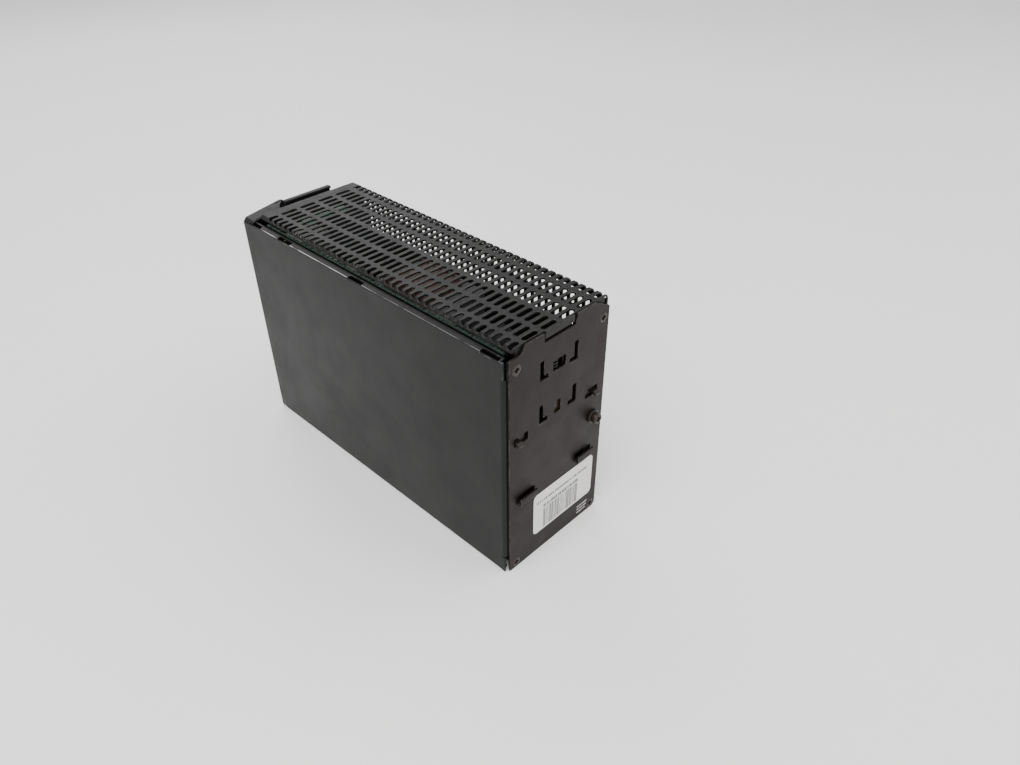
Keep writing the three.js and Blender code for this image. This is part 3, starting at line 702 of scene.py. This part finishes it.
def rear_plate():
    outline = rounded([
        (2, 0), (62.9, 0), (64.7, 1.8), (64.7, 119.5), (54.8, 124.9), (43.2, 124.9), (42, 119.9, 0.4),
        (22.8, 119.9, 0.4), (22.8, 124.6), (11.5, 124.6), (9, 121), (2, 121),
    ], 0.7)
    holes = [l_slot(z0, z1, way) for way in (-1, 1) for z0, z1 in ((101.5, 111.4), (78.8, 88.6))]
    holes += [rectangle((28.5, 36.5), (102.5, 108), 0.3), rectangle((30.2, 34.2), (79.5, 86), 0.3)]
    holes += [rectangle(x, (75.4, 79.9), 0.6) for x in mirror_pair(5, 13.6)]
    hook_x = mirror_pair(7.2, 18.3)
    holes += [rectangle(x, (HOOK_Z + 0.1, 45.2), 0.4) for x in hook_x]
    holes += [circle(x, z, 2.7, 28) for x, z in CORNER_SCREWS]
    holes.append(circle(*GROUND_SCREW, 1.8, 20))
    sheet = slab("y", 0, outline, holes, crisp(SHEET))
    reach = -span("rear_plate")[1][0]
    hook = rounded([
        (0.6, HOOK_Z - 0.95, 0.05), (0.6, HOOK_Z - 0.05, 0.05), (0.1, HOOK_Z, 0.3),
        (SHEET - reach, HOOK_Z, 0.4), (SHEET - reach, HOOK_Z + 3.2, 0.3), (-reach, HOOK_Z + 3.2, 0.3),
        (-reach, HOOK_Z - 0.1, 0.8), (SHEET - reach - 0.2, HOOK_Z - SHEET, 0.5), (0.1, HOOK_Z - SHEET, 0.3),
    ], 0.2, 5)
    bodies = [sheet]
    for x in hook_x:
        bodies.append(panel("x", x, hook, 0.15))
    behind = 2.5 + GAP
    for way in (-1, 1):
        for z0, z1 in ((104.4, 109), (81.6, 87)):
            outer, shoulder, tip = [CENTRE_X + way * offset for offset in (6.5, 5.6, 4.3)]
            guide = rounded([
                (outer, 0.5), (outer, behind + 0.9, 0.9), (tip, behind + 0.9, 0.2), (tip, behind, 0.2),
                (shoulder, behind, 0.2), (shoulder, 0.5),
            ], 0.1)
            bodies.append(panel("z", (z0, z1), guide))
    bodies.append(block((30.3, 34.7), (0.6, 6.4), (109.3, 110.3), 0.2, X))
    piece("rear_shell", bodies, "rear", "rear_plate")


def rear_label():
    x, y, z = span("rear_label")
    x0, y0, z0 = x[0], y[0], z[0]
    sheet = panel("y", y, rectangle(x, z, 2.5, 6), 0.02)
    piece("label_sheet", sheet, "paper", "rear_label")
    rng = random.Random(7)
    stroke = lambda x, z: printed(y0 - 0.012, rectangle(x, z), 0.03)
    marks = []
    x = x0 + 6.8
    while x < x0 + 31:
        width = rng.choice((0.22, 0.22, 0.45, 0.7))
        marks.append(stroke((x, x + width), (z0 + 1.0, z0 + 13.4)))
        x += width + rng.choice((0.25, 0.3, 0.55))
    for z, height, start, end in ((z0 + 14.2, 1.9, x0 + 6.8, x0 + 31), (z0 + 18.6, 1.3, x0 + 2.4, x0 + 37.5)):
        x = start
        while x < end:
            width = rng.uniform(0.6, 1.3)
            marks.append(stroke((x, x + width), (z, z + height)))
            x += width + rng.choice((0.22, 0.22, 0.3, 0.7))
    piece("label_print", marks, "ink")
    dashes = []
    for line in range(3):
        z = 6.9 - 2.0 * line
        ends = [(50.6, 52.0), (52.4, 54.8), (55.2, 58.2 - 0.5 * line)]
        dashes += [printed(-0.02, rectangle(x, (z, z + 0.75)), 0.03) for x in ends]
    piece("rating_dashes", dashes, "white_ink")


def screw_head(centre, y0, levels, radius, recess, shank):
    """A cross-head screw along y: its head with the recess, and its shank with the recess's floor."""
    head = slab("y", y0, circle(*centre, radius, 32), [cross(*centre, *recess)], levels, 0.3)
    return head, turned(shank, "y", (centre[0], y0, centre[1]), 24)


def screws():
    shank = [(0, 0.5), (2.45, 0.5), (2.3, 0.62), (1.15, 1.2), (1.15, 4.3), (0.8, 4.6), (0, 4.6)]
    flat_top = [(0.22, 0.02), (0.05, 0.12), (0, 0.3), (0.15, 0.56)]
    for i, at in enumerate(CORNER_SCREWS):
        head, core = screw_head(at, 0.0, flat_top, 2.6, (1.45, 0.42), shank)
        piece(f"corner_screw_head_{i + 1}", head, "screw", f"corner_screw_{i + 1}")
        piece(f"corner_screw_core_{i + 1}", core, "recess")
    y0 = span("ground_screw")[1][0]
    shank = [(0, 1.3), (2.5, 1.3), (2.5, 2.6), (1.4, 2.6), (1.4, 9.9), (1.0, 10.2), (0, 10.2)]
    dome = [(0.9, 0.0), (0.45, 0.16), (0.12, 0.5), (0, 0.95), (0, 2.45), (0.15, 2.6)]
    head, core = screw_head(GROUND_SCREW, y0, dome, 2.7, (1.3, 0.4), shank)
    piece("ground_screw_head", head, "screw", "ground_screw")
    piece("ground_screw_core", core, "recess")
    y = span("ground_washer")[1]
    ring = panel("y", y, circle(*GROUND_SCREW, 3.5, 36), 0.2, [circle(*GROUND_SCREW, 1.7, 24)])
    piece("washer_ring", ring, "washer", "ground_washer")


# ---------------------------------------------------------------- rail latch
def latch():
    top = span("latch_slider")[2][1]
    stem, head, outer, arm = 5.3, 8.8, 27.1, 7.2
    inner = outer - arm
    cross_top = 97.0
    half = [
        (head, top, 0.6), (head, 114, 0.5), (stem, 114, 0.6), (stem, cross_top, 0.8), (outer, cross_top, 1.5),
        (outer, 75, 1.2), (inner, 75, 1.2), (inner, 90, 1.0), (stem, 90, 0.8), (stem, 78, 0.6),
    ]
    whole = [(CENTRE_X + a, b, r) for a, b, r in half] + [(CENTRE_X - a, b, r) for a, b, r in half[::-1]]
    window = rectangle((29, 36), (cross_top, 111.6), 0.5)
    sheet = plate(rounded(whole), [window], crisp(1.2))
    lay(sheet, X, Z, -Y, (0, 2.5, 0))
    nose = span("rear_plate")[1][0]
    beak = rounded([
        (2.4, BEAK_Z + 0.1, 0.05), (2.4, BEAK_Z + 1.5, 0.05), (-0.9, BEAK_Z + 1.6, 0.5),
        (nose, BEAK_Z + 0.8, 0.6), (nose, BEAK_Z - 0.6, 0.3), (nose + SHEET, BEAK_Z - 0.6, 0.27),
        (nose + SHEET, BEAK_Z, 0.27),
    ], 0.2, 4)
    bodies = [sheet]
    for x in mirror_pair(CENTRE_X - 27, CENTRE_X - 23.7):
        bodies.append(panel("x", x, beak, 0.16))
    bodies.append(block((30.3, 34.7), (1.6, 6.4), (96, 97), 0.2, X))
    piece("latch_plate", bodies, "zinc", "latch_slider", "latch")


def latch_spring():
    (x0, x1), y, (z0, z1) = span("latch_spring")
    wire, turns, per_turn = 0.35, 8, 20
    radius = (x1 - x0) / 2 - wire
    closed_pitch = 1.5 * wire
    open_pitch = (z1 - z0 - 2 * wire - 2 * closed_pitch) / (turns - 2)
    path = []
    for k in range(turns * per_turn + 1):
        t = k / per_turn
        closed = closed_pitch * (min(t, 1.0) + max(0.0, t - turns + 1.0))
        z = z0 + wire + closed + open_pitch * min(max(t - 1.0, 0.0), turns - 2.0)
        a = 2 * math.pi * t
        path.append((CENTRE_X + radius * math.cos(a), middle(y) + radius * math.sin(a), z))
    spring = piece("spring_coil", tube(path, wire, 8), "spring", "latch_spring", sharp=60)
    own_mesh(spring)


# ---------------------------------------------------------------- front
def front_cap():
    """The moulded cap: a shallow tray with a raised brow, a window for the terminal cover and openings."""
    y0, y1 = span("front_cap")[1]
    left, right, sill = 24.0, 54.0, 91.2  # the window for the terminal cover
    wall, skin = 2.0, 2.2
    near_top = [(0, 0, 1.5), (0, 119.7, 1.3), (1.7, 121.8, 1.6)]
    brow_top = [(21.6, 124.7, 3.0), (left, 124.8, 1.3)]
    brow_step = [(18.4, 124.23, 0.0), (18.4, 119.4, 0.0), (left, 119.4, 0.0)]
    rest = [
        (left, sill, 0.6), (right, sill, 0.6), (right, 119.5, 1.3), (WIDTH, 119.5, 1.6), (WIDTH, 0, 1.5),
    ]
    outline = rounded((near_top + brow_top + rest)[::-1], 0.5)
    rim_outline = rounded((near_top + brow_step + rest)[::-1], 0.5)
    hollow = rounded([
        (wall, wall), (wall, 116), (7, 117.4), (left - wall, 117.4), (left - wall, sill - wall),
        (right + wall, sill - wall), (right + wall, 117.5), (WIDTH - wall, 117.5), (WIDTH - wall, wall),
    ][::-1], 1.0)
    out_x0, out_x1 = span("output_terminal_block")[0]
    knob_x, knob_z = seat("selector_body")
    openings = [
        rectangle((out_x0 - 0.8, out_x1 + 0.8), (7.2, 28.8), 0.8),
        circle(*seat("status_led"), 1.8, 24),
        circle(*seat("trimmer_dial"), 3.2, 32),
        rectangle((knob_x - 5.2, knob_x + 5.2), (knob_z - 2.6, knob_z + 2.6), 0.5),
    ]
    deep = y1 - y0 - 0.03
    round_front = [(0, deep - 0.9), (0.12, deep - 0.45), (0.42, deep - 0.14), (0.9, deep)]
    inside = y1 - skin - y0
    front = slab("y", y0, outline, openings, [(0, inside - 0.01)] + round_front, 0.4)
    neck = [(0.55, 0), (0.55, 0.55), (0.25, 0.7), (0.04, 0.95), (0.04, inside + 0.4)]
    rim = slab("y", y0, rim_outline, [hollow], neck, 0.1)
    ledge = rounded([(4.7, 180.1, 0.6), (16.4, 180.1, 0.5), (left - 0.3, 187.2, 0.0), (4.7, 187.2, 0.0)])
    brow = slab("z", 120.0, ledge, [], soft(1.9, 0.3, 2))
    slope = Matrix.Identity(4)
    slope[2][0] = 2.45 / 16.9
    brow.transform(slope)
    brow.transform(Matrix.Translation((0, 0, -0.55)))
    bodies = [front, rim, brow]
    for a, b in ((21, left + 0.05), (right - 0.05, 57)):
        bodies.append(block((a, b), (y0 + 0.3, y1 - 0.6), (91.7, 97.3), 0.6, X))
    piece("cap_shell", bodies, "cap", "front_cap")
    panel_marks(y1, knob_x, knob_z, middle((out_x0, out_x1)))


def panel_marks(face, knob_x, knob_z, out_x):
    """Generic print on the cap: a scale round the dial, two dots at the selector and a dash for each pole."""
    depth = 0.04
    cx, cz = seat("trimmer_dial")
    ticks = []
    for k in range(9):
        a = math.radians(-135 + 270 * k / 8) + math.pi / 2
        long = 1.3 if k in (0, 4, 8) else 0.8
        bar = plate(rectangle((4.1, 4.1 + long), (-0.14, 0.14)), [], [(0, 0), (0, depth)])
        bar.transform(Matrix.Rotation(a, 4, "Z"))
        ticks.append(lay(bar, X, Z, Y, (cx, face - depth, cz)))
    for x in (knob_x - 4.6, knob_x + 4.6):
        ticks.append(printed(face - depth, circle(x, knob_z + 4.4, 0.45, 16), depth))
    for k in range(4):
        x = out_x + (k - 1.5) * 10
        ticks.append(printed(face - depth, rectangle((x - 0.9, x + 0.9), (31.0, 31.4)), depth))
    piece("panel_ticks", ticks, "white_ink")


def terminal_cover():
    """The hinged cover with its barrel, its lip and the ribs a finger pulls on."""
    top = span("terminal_cover")[2][1]
    x0, x1 = 24.4, 53.6
    axis_y, axis_z = 186.0, 94.5
    door = slab("y", 186.62, rectangle((x0, x1), (axis_z + 0.2, top), 0.8), [], soft(1.75, 0.4, 3))
    lip = block((x0, x1), (185.45, 188.36), (top - 1.4, top - 0.02), 0.3, X)
    bodies = [door, lip]
    for blunt, radius, edge, long, start, sides in (
        (1.4, 1.65, 0.3, x1 - x0, x0, 28),
        (0.75, 0.88, 0.2, 33.0, 22.5, 20),
    ):
        barrel = [(0, 0), (blunt, 0), (radius, edge), (radius, long - edge), (blunt, long), (0, long)]
        bodies.append(turned(barrel, "x", (start, axis_y, axis_z), sides))
    for k in range(4):
        z = top - 5.0 - 1.5 * k
        bodies.append(block((x0 + 8, x1 - 8), (188.2, 188.58), (z - 0.35, z + 0.35), 0.15, X))
    piece("cover_flap", bodies, "flap", "terminal_cover", "flap")


def terminal_block(name, count, pitch, depth, wire):
    """A row of screw terminals: screw wells, and wire entries with a clamp in each."""
    x, (y0, y1), z = span(f"{name}_terminal_block")
    well_z = seat(f"{name}_terminal_screw_1")[1]
    poles = [middle(x) + (k - (count - 1) / 2) * pitch for k in range(count)]
    holes = [rectangle((at - 2.8, at + 2.8), (well_z - 2.8, well_z + 2.8), 0.6) for at in poles]
    holes += [rectangle((at - 2.8, at + 2.8), wire, 0.5) for at in poles]
    split = y1 - depth
    front = slab("y", split, rectangle(x, z, 0.8), holes, soft(depth, 0.35, 2, back=0.05), 0.6)
    back = block((x[0] + 0.04, x[1] - 0.04), (y0, split + 0.02), (z[0] + 0.04, z[1] - 0.04), 0.3, Y)
    piece(f"{name}_terminal_body", [front, back], "terminal", f"{name}_terminal_block")
    clamps = []
    for at in poles:
        outer = rectangle((at - 2.55, at + 2.55), (wire[0] + 0.15, wire[1] - 0.15), 0.4)
        inner = rectangle((at - 1.8, at + 1.8), (wire[0] + 0.9, wire[1] - 0.9), 0.3)
        clamps.append(slab("y", split + 0.2, outer, [inner], crisp(depth - 3.2, 0.1)))
    piece(f"{name}_wire_clamps", clamps, "nickel")
    levels = [(0.1, 0.0), (0, 0.1), (0, 1.0), (0.12, 1.25), (0.4, 1.4)]
    for k, at in enumerate(poles):
        node = f"{name}_terminal_screw_{k + 1}"
        s0, s1 = span(node)[1]
        long = s1 - s0 - 1.2
        top = slab("y", s1 - 1.4, circle(at, well_z, 2.5, 28), [cross(at, well_z, 1.6, 0.38)], levels, 0.2)
        profile = [(0, 0), (1.2, 0), (1.4, 0.3), (1.4, 2.0), (2.4, 2.1), (2.4, long), (0, long)]
        screw = [top, turned(profile, "y", (at, s0, well_z), 24)]
        piece(f"{name}_clamp_screw_{k + 1}", screw, "nickel", node)


def controls():
    """The lamp, the voltage trimmer and the range selector behind the cap."""
    x, (y0, y1), z = span("status_led")
    tip = y1 - y0
    dome = [(1.5 * math.cos(a), tip - 1.5 + 1.48 * math.sin(a)) for a in angles(24)[:6]]
    lamp = turned([(0, 0), (1.5, 0)] + dome + [(0, tip)], "y", (middle(x), y0, middle(z)), 28)
    piece("lamp_lens", lamp, "lens", "status_led")
    piece("trimmer_case", block(*span("trimmer_body"), 0.4, Y), "blue", "trimmer_body")
    cx, cz = seat("trimmer_dial")
    y0, y1 = span("trimmer_dial")[1]
    deep = y1 - y0 - 0.9
    arrow = rounded([
        (cx - 1.7, cz - 0.35), (cx + 0.6, cz - 0.35), (cx + 0.6, cz - 0.9), (cx + 1.8, cz),
        (cx + 0.6, cz + 0.9), (cx + 0.6, cz + 0.35), (cx - 1.7, cz + 0.35),
    ])
    levels = [(0, 0), (0, 0.75), (0.1, 0.92), (0.3, 1.0)]
    cap = slab("y", y1 - 1.0, circle(cx, cz, 2.6, 36), [arrow], levels, 0.1)
    stem = turned([(0, 0), (2.3, 0), (2.55, 0.25), (2.55, deep), (0, deep)], "y", (cx, y0, cz), 32)
    piece("dial_body", [cap, stem], "white", "trimmer_dial", "trimmer")
    piece("selector_case", block(*span("selector_body"), 0.4, Y), "black", "selector_body")
    x, (y0, y1), z = span("selector_knob")
    bodies = [block(x, (y0, y1 - 0.6), z, 0.3, Y)]
    for k in range(5):
        left = x[0] + 0.35 + k * (x[1] - x[0] - 0.7) / 5
        bodies.append(block((left, left + 0.5), (y1 - 1.0, y1), (z[0] + 0.3, z[1] - 0.3), 0.15, Y))
    piece("selector_slider", bodies, "red", "selector_knob", "selector")


# ---------------------------------------------------------------- boards and their parts
def board_edge(x, y, z, up):
    """A bare board: a thin panel with crisp edges."""
    if up == X:
        return panel("x", x, rectangle(y, z, 0.8), 0.08)
    return panel("y", y, rectangle(x, z, 0.8), 0.08)


def main_board():
    """The board behind the side panel, with solder joints, lumps along its top edge and three resistors."""
    x, y, z = span("main_board")
    piece("main_board_panel", board_edge(x, y, z, X), "board", "main_board")
    rng = random.Random(11)
    rows = (14, 22, 30, 44, 52, 60, 70, 78, 90, 98, 106, 118.6)
    joints = [(rng.uniform(10, 172), rng.choice(rows)) for _ in range(110)]
    cone = [(0, 0), (0.95, 0), (0.7, -0.25), (0.35, -0.6), (0.2, -0.95), (0, -1.0)]
    dots = [turned(cone, "x", (x[0] + 0.01, at, row), 10) for at, row in joints]
    piece("solder_joints", dots, "solder")
    lumps = []
    at = y[0] + 3.0
    while at < y[1] - 3.0:
        r, row = rng.uniform(0.45, 0.85), rng.uniform(z[1] - 1.5, z[1] - 0.5)
        drop = [(0, -0.3), (r, 0), (0.8 * r, 0.45 * r), (0.4 * r, 0.7 * r), (0, 0.75 * r)]
        lumps.append(turned(drop, "x", (x[1], at, row), 12))
        crest = z[1] + rng.uniform(0.15, 0.5)
        lumps.append(block((x[0] + 0.1, x[1] - 0.1), (at - r, at + r), (z[1] - 0.5, crest), 0.14, Z))
        at += rng.choice((2.2, 3.1, 4.4, 5.0))
    piece("edge_lumps", lumps, "lumps")
    row = rows[-1]
    wander = [rng.uniform(-1.2, 1.2) for _ in range(5)]
    resistors, leads = [], []
    for k in (2, 3, 4):
        at = 20 + 9.6 * k + wander[k]
        barrel = [(0, 0), (0.8, 0.05), (1.1, 0.4), (1.1, 4.6), (0.8, 4.95), (0, 5.0)]
        resistors.append(turned(barrel, "y", (x[1] + 1.6, at, row), 14))
        path = [(-0.2, -1), (1.3, -1), (1.6, -0.6), (1.6, 5.6), (1.3, 6), (-0.2, 6)]
        leads.append(tube([(x[1] + out, at + along, row) for out, along in path], 0.28, 6))
    piece("edge_resistors", resistors, "resistor")
    piece("resistor_leads", leads, "solder")


def boards():
    main_board()
    x, y, z = span("terminal_board")
    piece("terminal_board_panel", board_edge(x, y, z, Y), "board", "terminal_board")
    x, y, z = span("control_board")
    piece("control_board_panel", board_edge(x, y, z, Y), "board", "control_board")
    deep = (y[0] - 1.7, y[0] - 0.05)
    chips = []
    for cx, cz, w, h in ((18, 24, 8, 10), (30, 30, 6, 6), (20, 46, 10, 6), (32, 58, 5, 8), (16, 66, 6, 5)):
        chips.append(block((cx - w / 2, cx + w / 2), deep, (cz - h / 2, cz + h / 2), 0.3, Y))
    piece("control_chips", chips, "black")
    holes = []
    for i in range(4):
        node = f"board_spacer_{i + 1}"
        x, y, z = span(node)
        hexagon = rounded(circle(middle(y), middle(z), 2.74, 6), 0.3, 2)
        piece(f"spacer_{i + 1}", panel("x", x, hexagon, 0.15), "nickel", node)
        holes.append(circle(middle(y), middle(z), 3.3, 24))
    x, y, z = span("insulation_sheet")
    film = panel("x", x, rectangle(y, z, 2), 0.04, holes)
    piece("insulation_film", film, "film", "insulation_sheet")


def can_capacitor(node, name, sleeve):
    """A sleeved can lying along x: the sleeve rolls over both rims, and the metal top has its vent score."""
    (x0, x1), y, z = span(node)
    r, long = (y[1] - y[0]) / 2, x1 - x0
    cy, cz = middle(y), middle(z)
    body = [
        (0, 0.6), (r - 0.9, 0.6), (r - 0.7, 0.0), (r - 0.25, 0.12), (r - 0.02, 0.6), (r - 0.02, 2.4),
        (r - 0.55, 3.1), (r - 0.55, 3.7), (r - 0.02, 4.4), (r - 0.02, long - 1.0), (r - 0.35, long - 0.3),
        (r - 0.9, long - 0.05), (r - 1.5, long), (r - 1.6, long - 0.35), (0, long - 0.35),
    ]
    piece(name, turned(body, "x", (x0, cy, cz), 48), sleeve, node)
    score = cross(cy, cz, (r - 1.6) * 0.72, 0.16)
    top = slab("x", x1 - 0.6, circle(cy, cz, r - 1.62, 40), [score], [(0, 0), (0, 0.3), (0.12, 0.4)], 0.2)
    piece(f"{name}_top", top, "bare")


def wound_ring(node, name, core_finish, wire_finish, turns, wire):
    """A toroid with its axis along x: the coated ring and one layer of wire wound round it."""
    x, y, z = span(node)
    tube_r = (x[1] - x[0]) / 2
    ring_r = (y[1] - y[0]) / 2 - tube_r
    core_r = tube_r - 2 * wire
    centre = Vector((middle(x), middle(y), middle(z)))

    def on_ring(a, b, r):
        out = Vector((0, math.cos(a), math.sin(a)))
        return centre + out * (ring_r + r * math.cos(b)) + X * (r * math.sin(b))

    bm = empty_body()
    rings = [[bm.verts.new(on_ring(a, b, core_r)) for b in angles(20)] for a in angles(48)]
    for a, b in zip(rings, rings[1:] + rings[:1]):
        bridge(bm, a, b)
    piece(f"{name}_core", bm, core_finish, node)
    path = [on_ring(a, turns * a, core_r + wire) for a in angles(turns * 14)]
    piece(f"{name}_wire", tube(path, wire * 0.97, 8, closed=True), wire_finish, sharp=80)


def transformer():
    x, y, z = span("transformer_core")
    cut = middle(x)
    halves = []
    for back, face, floor in ((x[0], cut - 0.06, 16), (x[1], cut + 0.06, 40)):
        shape = rounded([
            (y[0], back), (y[1], back), (y[1], face), (96, face), (96, floor), (87.5, floor), (87.5, face),
            (74.5, face), (74.5, floor), (66, floor), (66, face), (y[0], face),
        ], 0.35, 2)
        halves.append(lay(plate(shape, [], crisp(z[1] - z[0], 0.3)), Y, X, Z, (0, 0, z[0])))
    piece("transformer_ferrite", halves, "ferrite", "transformer_core")
    x, y, z = span("transformer_winding")
    window = rectangle((74.2, 87.8), (90.7, 111.3), 0.3)
    bodies = []
    for start, end, less in ((x[0], x[0] + 1.6, 0.0), (x[0] + 1.5, x[1] - 1.5, 0.7), (x[1] - 1.6, x[1], 0.0)):
        outer = rectangle((y[0] + less, y[1] - less), (z[0] + less, z[1] - less), 3.5, 5)
        bodies.append(panel("x", (start, end), outer, 0.2, [window]))
    piece("transformer_coil", bodies, "tape", "transformer_winding")
    foot = block(*span("transformer_base"), 0.4, X)
    piece("transformer_foot", foot, "bobbin", "transformer_base")


def heat_sink(node, name, plate_y, fold):
    """A bent aluminium plate with the fold at its far edge."""
    (x0, x1), (y0, y1), z = span(node)
    near, far = plate_y
    if fold > 0:
        shape = [(x0, near), (x1, near, 1.6), (x1, y1, 0.5), (x1 - 2, y1, 0.5), (x1 - 2, far, 0.8), (x0, far)]
    else:
        shape = [(x0, near), (x1 - 2, near, 0.8), (x1 - 2, y0, 0.5), (x1, y0, 0.5), (x1, far, 1.6), (x0, far)]
    piece(name, panel("z", z, rounded(shape), 0.2), "sink", node)


def power_package(node, name):
    """A flat power package with its screw hole and three legs."""
    (x0, x1), (y0, y1), z = span(node)
    low = x1 - 20
    hole = circle(x1 - 4, middle(z), 1.75, 24)
    bodies = [slab("y", y0, rectangle((low, x1), z, 0.6), [hole], soft(y1 - y0, 0.4, 2))]
    for leg in (middle(z) - 5, middle(z), middle(z) + 5):
        bodies.append(block((x0, low + 1), (y0 + 1.2, y0 + 1.9), (leg - 0.6, leg + 0.6), 0.15, X))
    piece(name, bodies, "black", node)


def fuse():
    x0 = span("input_fuse")[0][0]
    z0, z1 = span("input_fuse")[2]
    cx, cy = 10.0, 157.5
    glass = turned([(0, 0), (2.2, 0), (2.2, 12), (0, 12)], "z", (cx, cy, 56), 24)
    piece("fuse_tube", glass, "glass", "input_fuse")
    cap = [(0, 0), (2.3, 0), (2.68, 0.4), (2.68, 5.4), (2.3, 5.6), (0, 5.6)]
    metal = [turned(cap, "z", (cx, cy, z), 24) for z in (z0, z1 - 5.6)]
    metal += [block((x0, cx - 2.0), (cy - 1.5, cy + 1.5), z, 0.3, X) for z in ((52, 54), (70, 72))]
    piece("fuse_caps", metal, "nickel")


def varistor():
    (x0, x1), (y0, y1), z = span("varistor")
    r = (z[1] - z[0]) / 2
    thick = y1 - y0
    rim = [(r - 1.6, 0.1), (r - 0.5, 0.7), (r, thick / 2), (r - 0.5, thick - 0.7), (r - 1.6, thick - 0.1)]
    lens = [(0, 0), *rim, (0, thick)]
    bodies = [turned(lens, "y", (x1 - r, y0, middle(z)), 36)]
    for foot in (83.5, 88.5):
        path = [(x0, foot), (x0 + 3, foot), (x1 - r - 1, foot * 0.5 + 0.5 * middle(z))]
        bodies.append(tube([(x, 157.5, at) for x, at in path], 0.4, 8))
    piece("varistor_disc", bodies, "disc", "varistor")


def small_parts():
    for node, name, finish, slot, edge in (
        ("film_capacitor_1", "film_box_1", "film_box", "film_box", 0.8),
        ("film_capacitor_2", "film_box_2", "drab_box", "choke_coating", 0.8),
        ("relay", "relay_case", "relay", "bobbin_plastic", 0.9),
        ("bridge_rectifier", "bridge_block", "black", "epoxy_black", 0.5),
    ):
        piece(name, block(*span(node), edge, X, 3), finish, node)
    fuse()
    varistor()


def internals():
    boards()
    for k in (1, 2):
        can_capacitor(f"bulk_capacitor_{k}", f"bulk_can_{k}", "sleeve")
    for k in (1, 2, 3):
        # The third output can takes the near-black sleeve finish instead of brown, painted shade for where it
        # sits in the dark.
        finish = "sleeve" if k == 3 else "brown"
        can_capacitor(f"output_capacitor_{k}", f"output_can_{k}", finish)
    wound_ring("input_choke", "input_ring", "drab", "drab_wire", 30, 0.55)
    wound_ring("output_choke", "output_ring", "ferrite", "copper", 36, 0.65)
    transformer()
    heat_sink("primary_heat_sink", "primary_sink", (106, 109), -1)
    heat_sink("secondary_heat_sink", "secondary_sink", (53, 56), 1)
    for k in (1, 2):
        power_package(f"power_transistor_{k}", f"transistor_{k}")
        power_package(f"output_rectifier_{k}", f"rectifier_{k}")
    small_parts()


# ---------------------------------------------------------------- studio
def studio():
    """A plain pale floor, soft lights and the camera."""
    bm = bmesh.new()
    bmesh.ops.create_grid(bm, x_segments=1, y_segments=1, size=4)
    mesh = bpy.data.meshes.new("floor")
    bm.to_mesh(mesh)
    bm.free()
    floor = bpy.data.objects.new("floor", mesh)
    mesh.materials.append(LOOKS["floor"])
    bpy.context.scene.collection.objects.link(floor)

    world = bpy.data.worlds.new("studio_world")
    bpy.context.scene.world = world
    world.use_nodes = True
    backdrop = world.node_tree.nodes["Background"]
    backdrop.inputs["Color"].default_value = (0.86, 0.87, 0.88, 1)
    backdrop.inputs["Strength"].default_value = 1.0

    target = Vector((0, 0, 0.06))
    for name, place, size, power in (
        ("key_light", (0.55, 0.25, 1.1), 0.9, 16),
        ("fill_light", (-0.8, 0.6, 0.9), 1.2, 8),
        ("back_light", (-0.3, -0.9, 0.8), 1.0, 6),
    ):
        data = bpy.data.lights.new(name, "AREA")
        data.shape = "SQUARE"
        data.size = size
        data.energy = power
        light = bpy.data.objects.new(name, data)
        light.location = place
        light.rotation_mode = "QUATERNION"
        light.rotation_quaternion = (target - light.location).to_track_quat("-Z", "Y")
        bpy.context.scene.collection.objects.link(light)

    data = bpy.data.cameras.new("camera")
    data.sensor_width = 36
    data.lens = 28.32
    data.clip_start = 0.01
    camera = bpy.data.objects.new("camera", data)
    camera.location = (0.2119, 0.2680, 0.2983)
    aim = Vector((-0.0198, 0.0441, 0.0600)) - camera.location
    camera.rotation_mode = "QUATERNION"
    roll = Matrix.Rotation(math.radians(-0.234), 4, "Z").to_quaternion()
    camera.rotation_quaternion = aim.to_track_quat("-Z", "Y") @ roll
    bpy.context.scene.collection.objects.link(camera)
    bpy.context.scene.camera = camera


vented_cover()
side_panel()
rear_plate()
rear_label()
screws()
latch()
latch_spring()
front_cap()
terminal_cover()
terminal_block("input", 3, 9, 9, (108.6, 114.2))
terminal_block("output", 4, 10, 12, (9.8, 15.4))
controls()
internals()
studio()
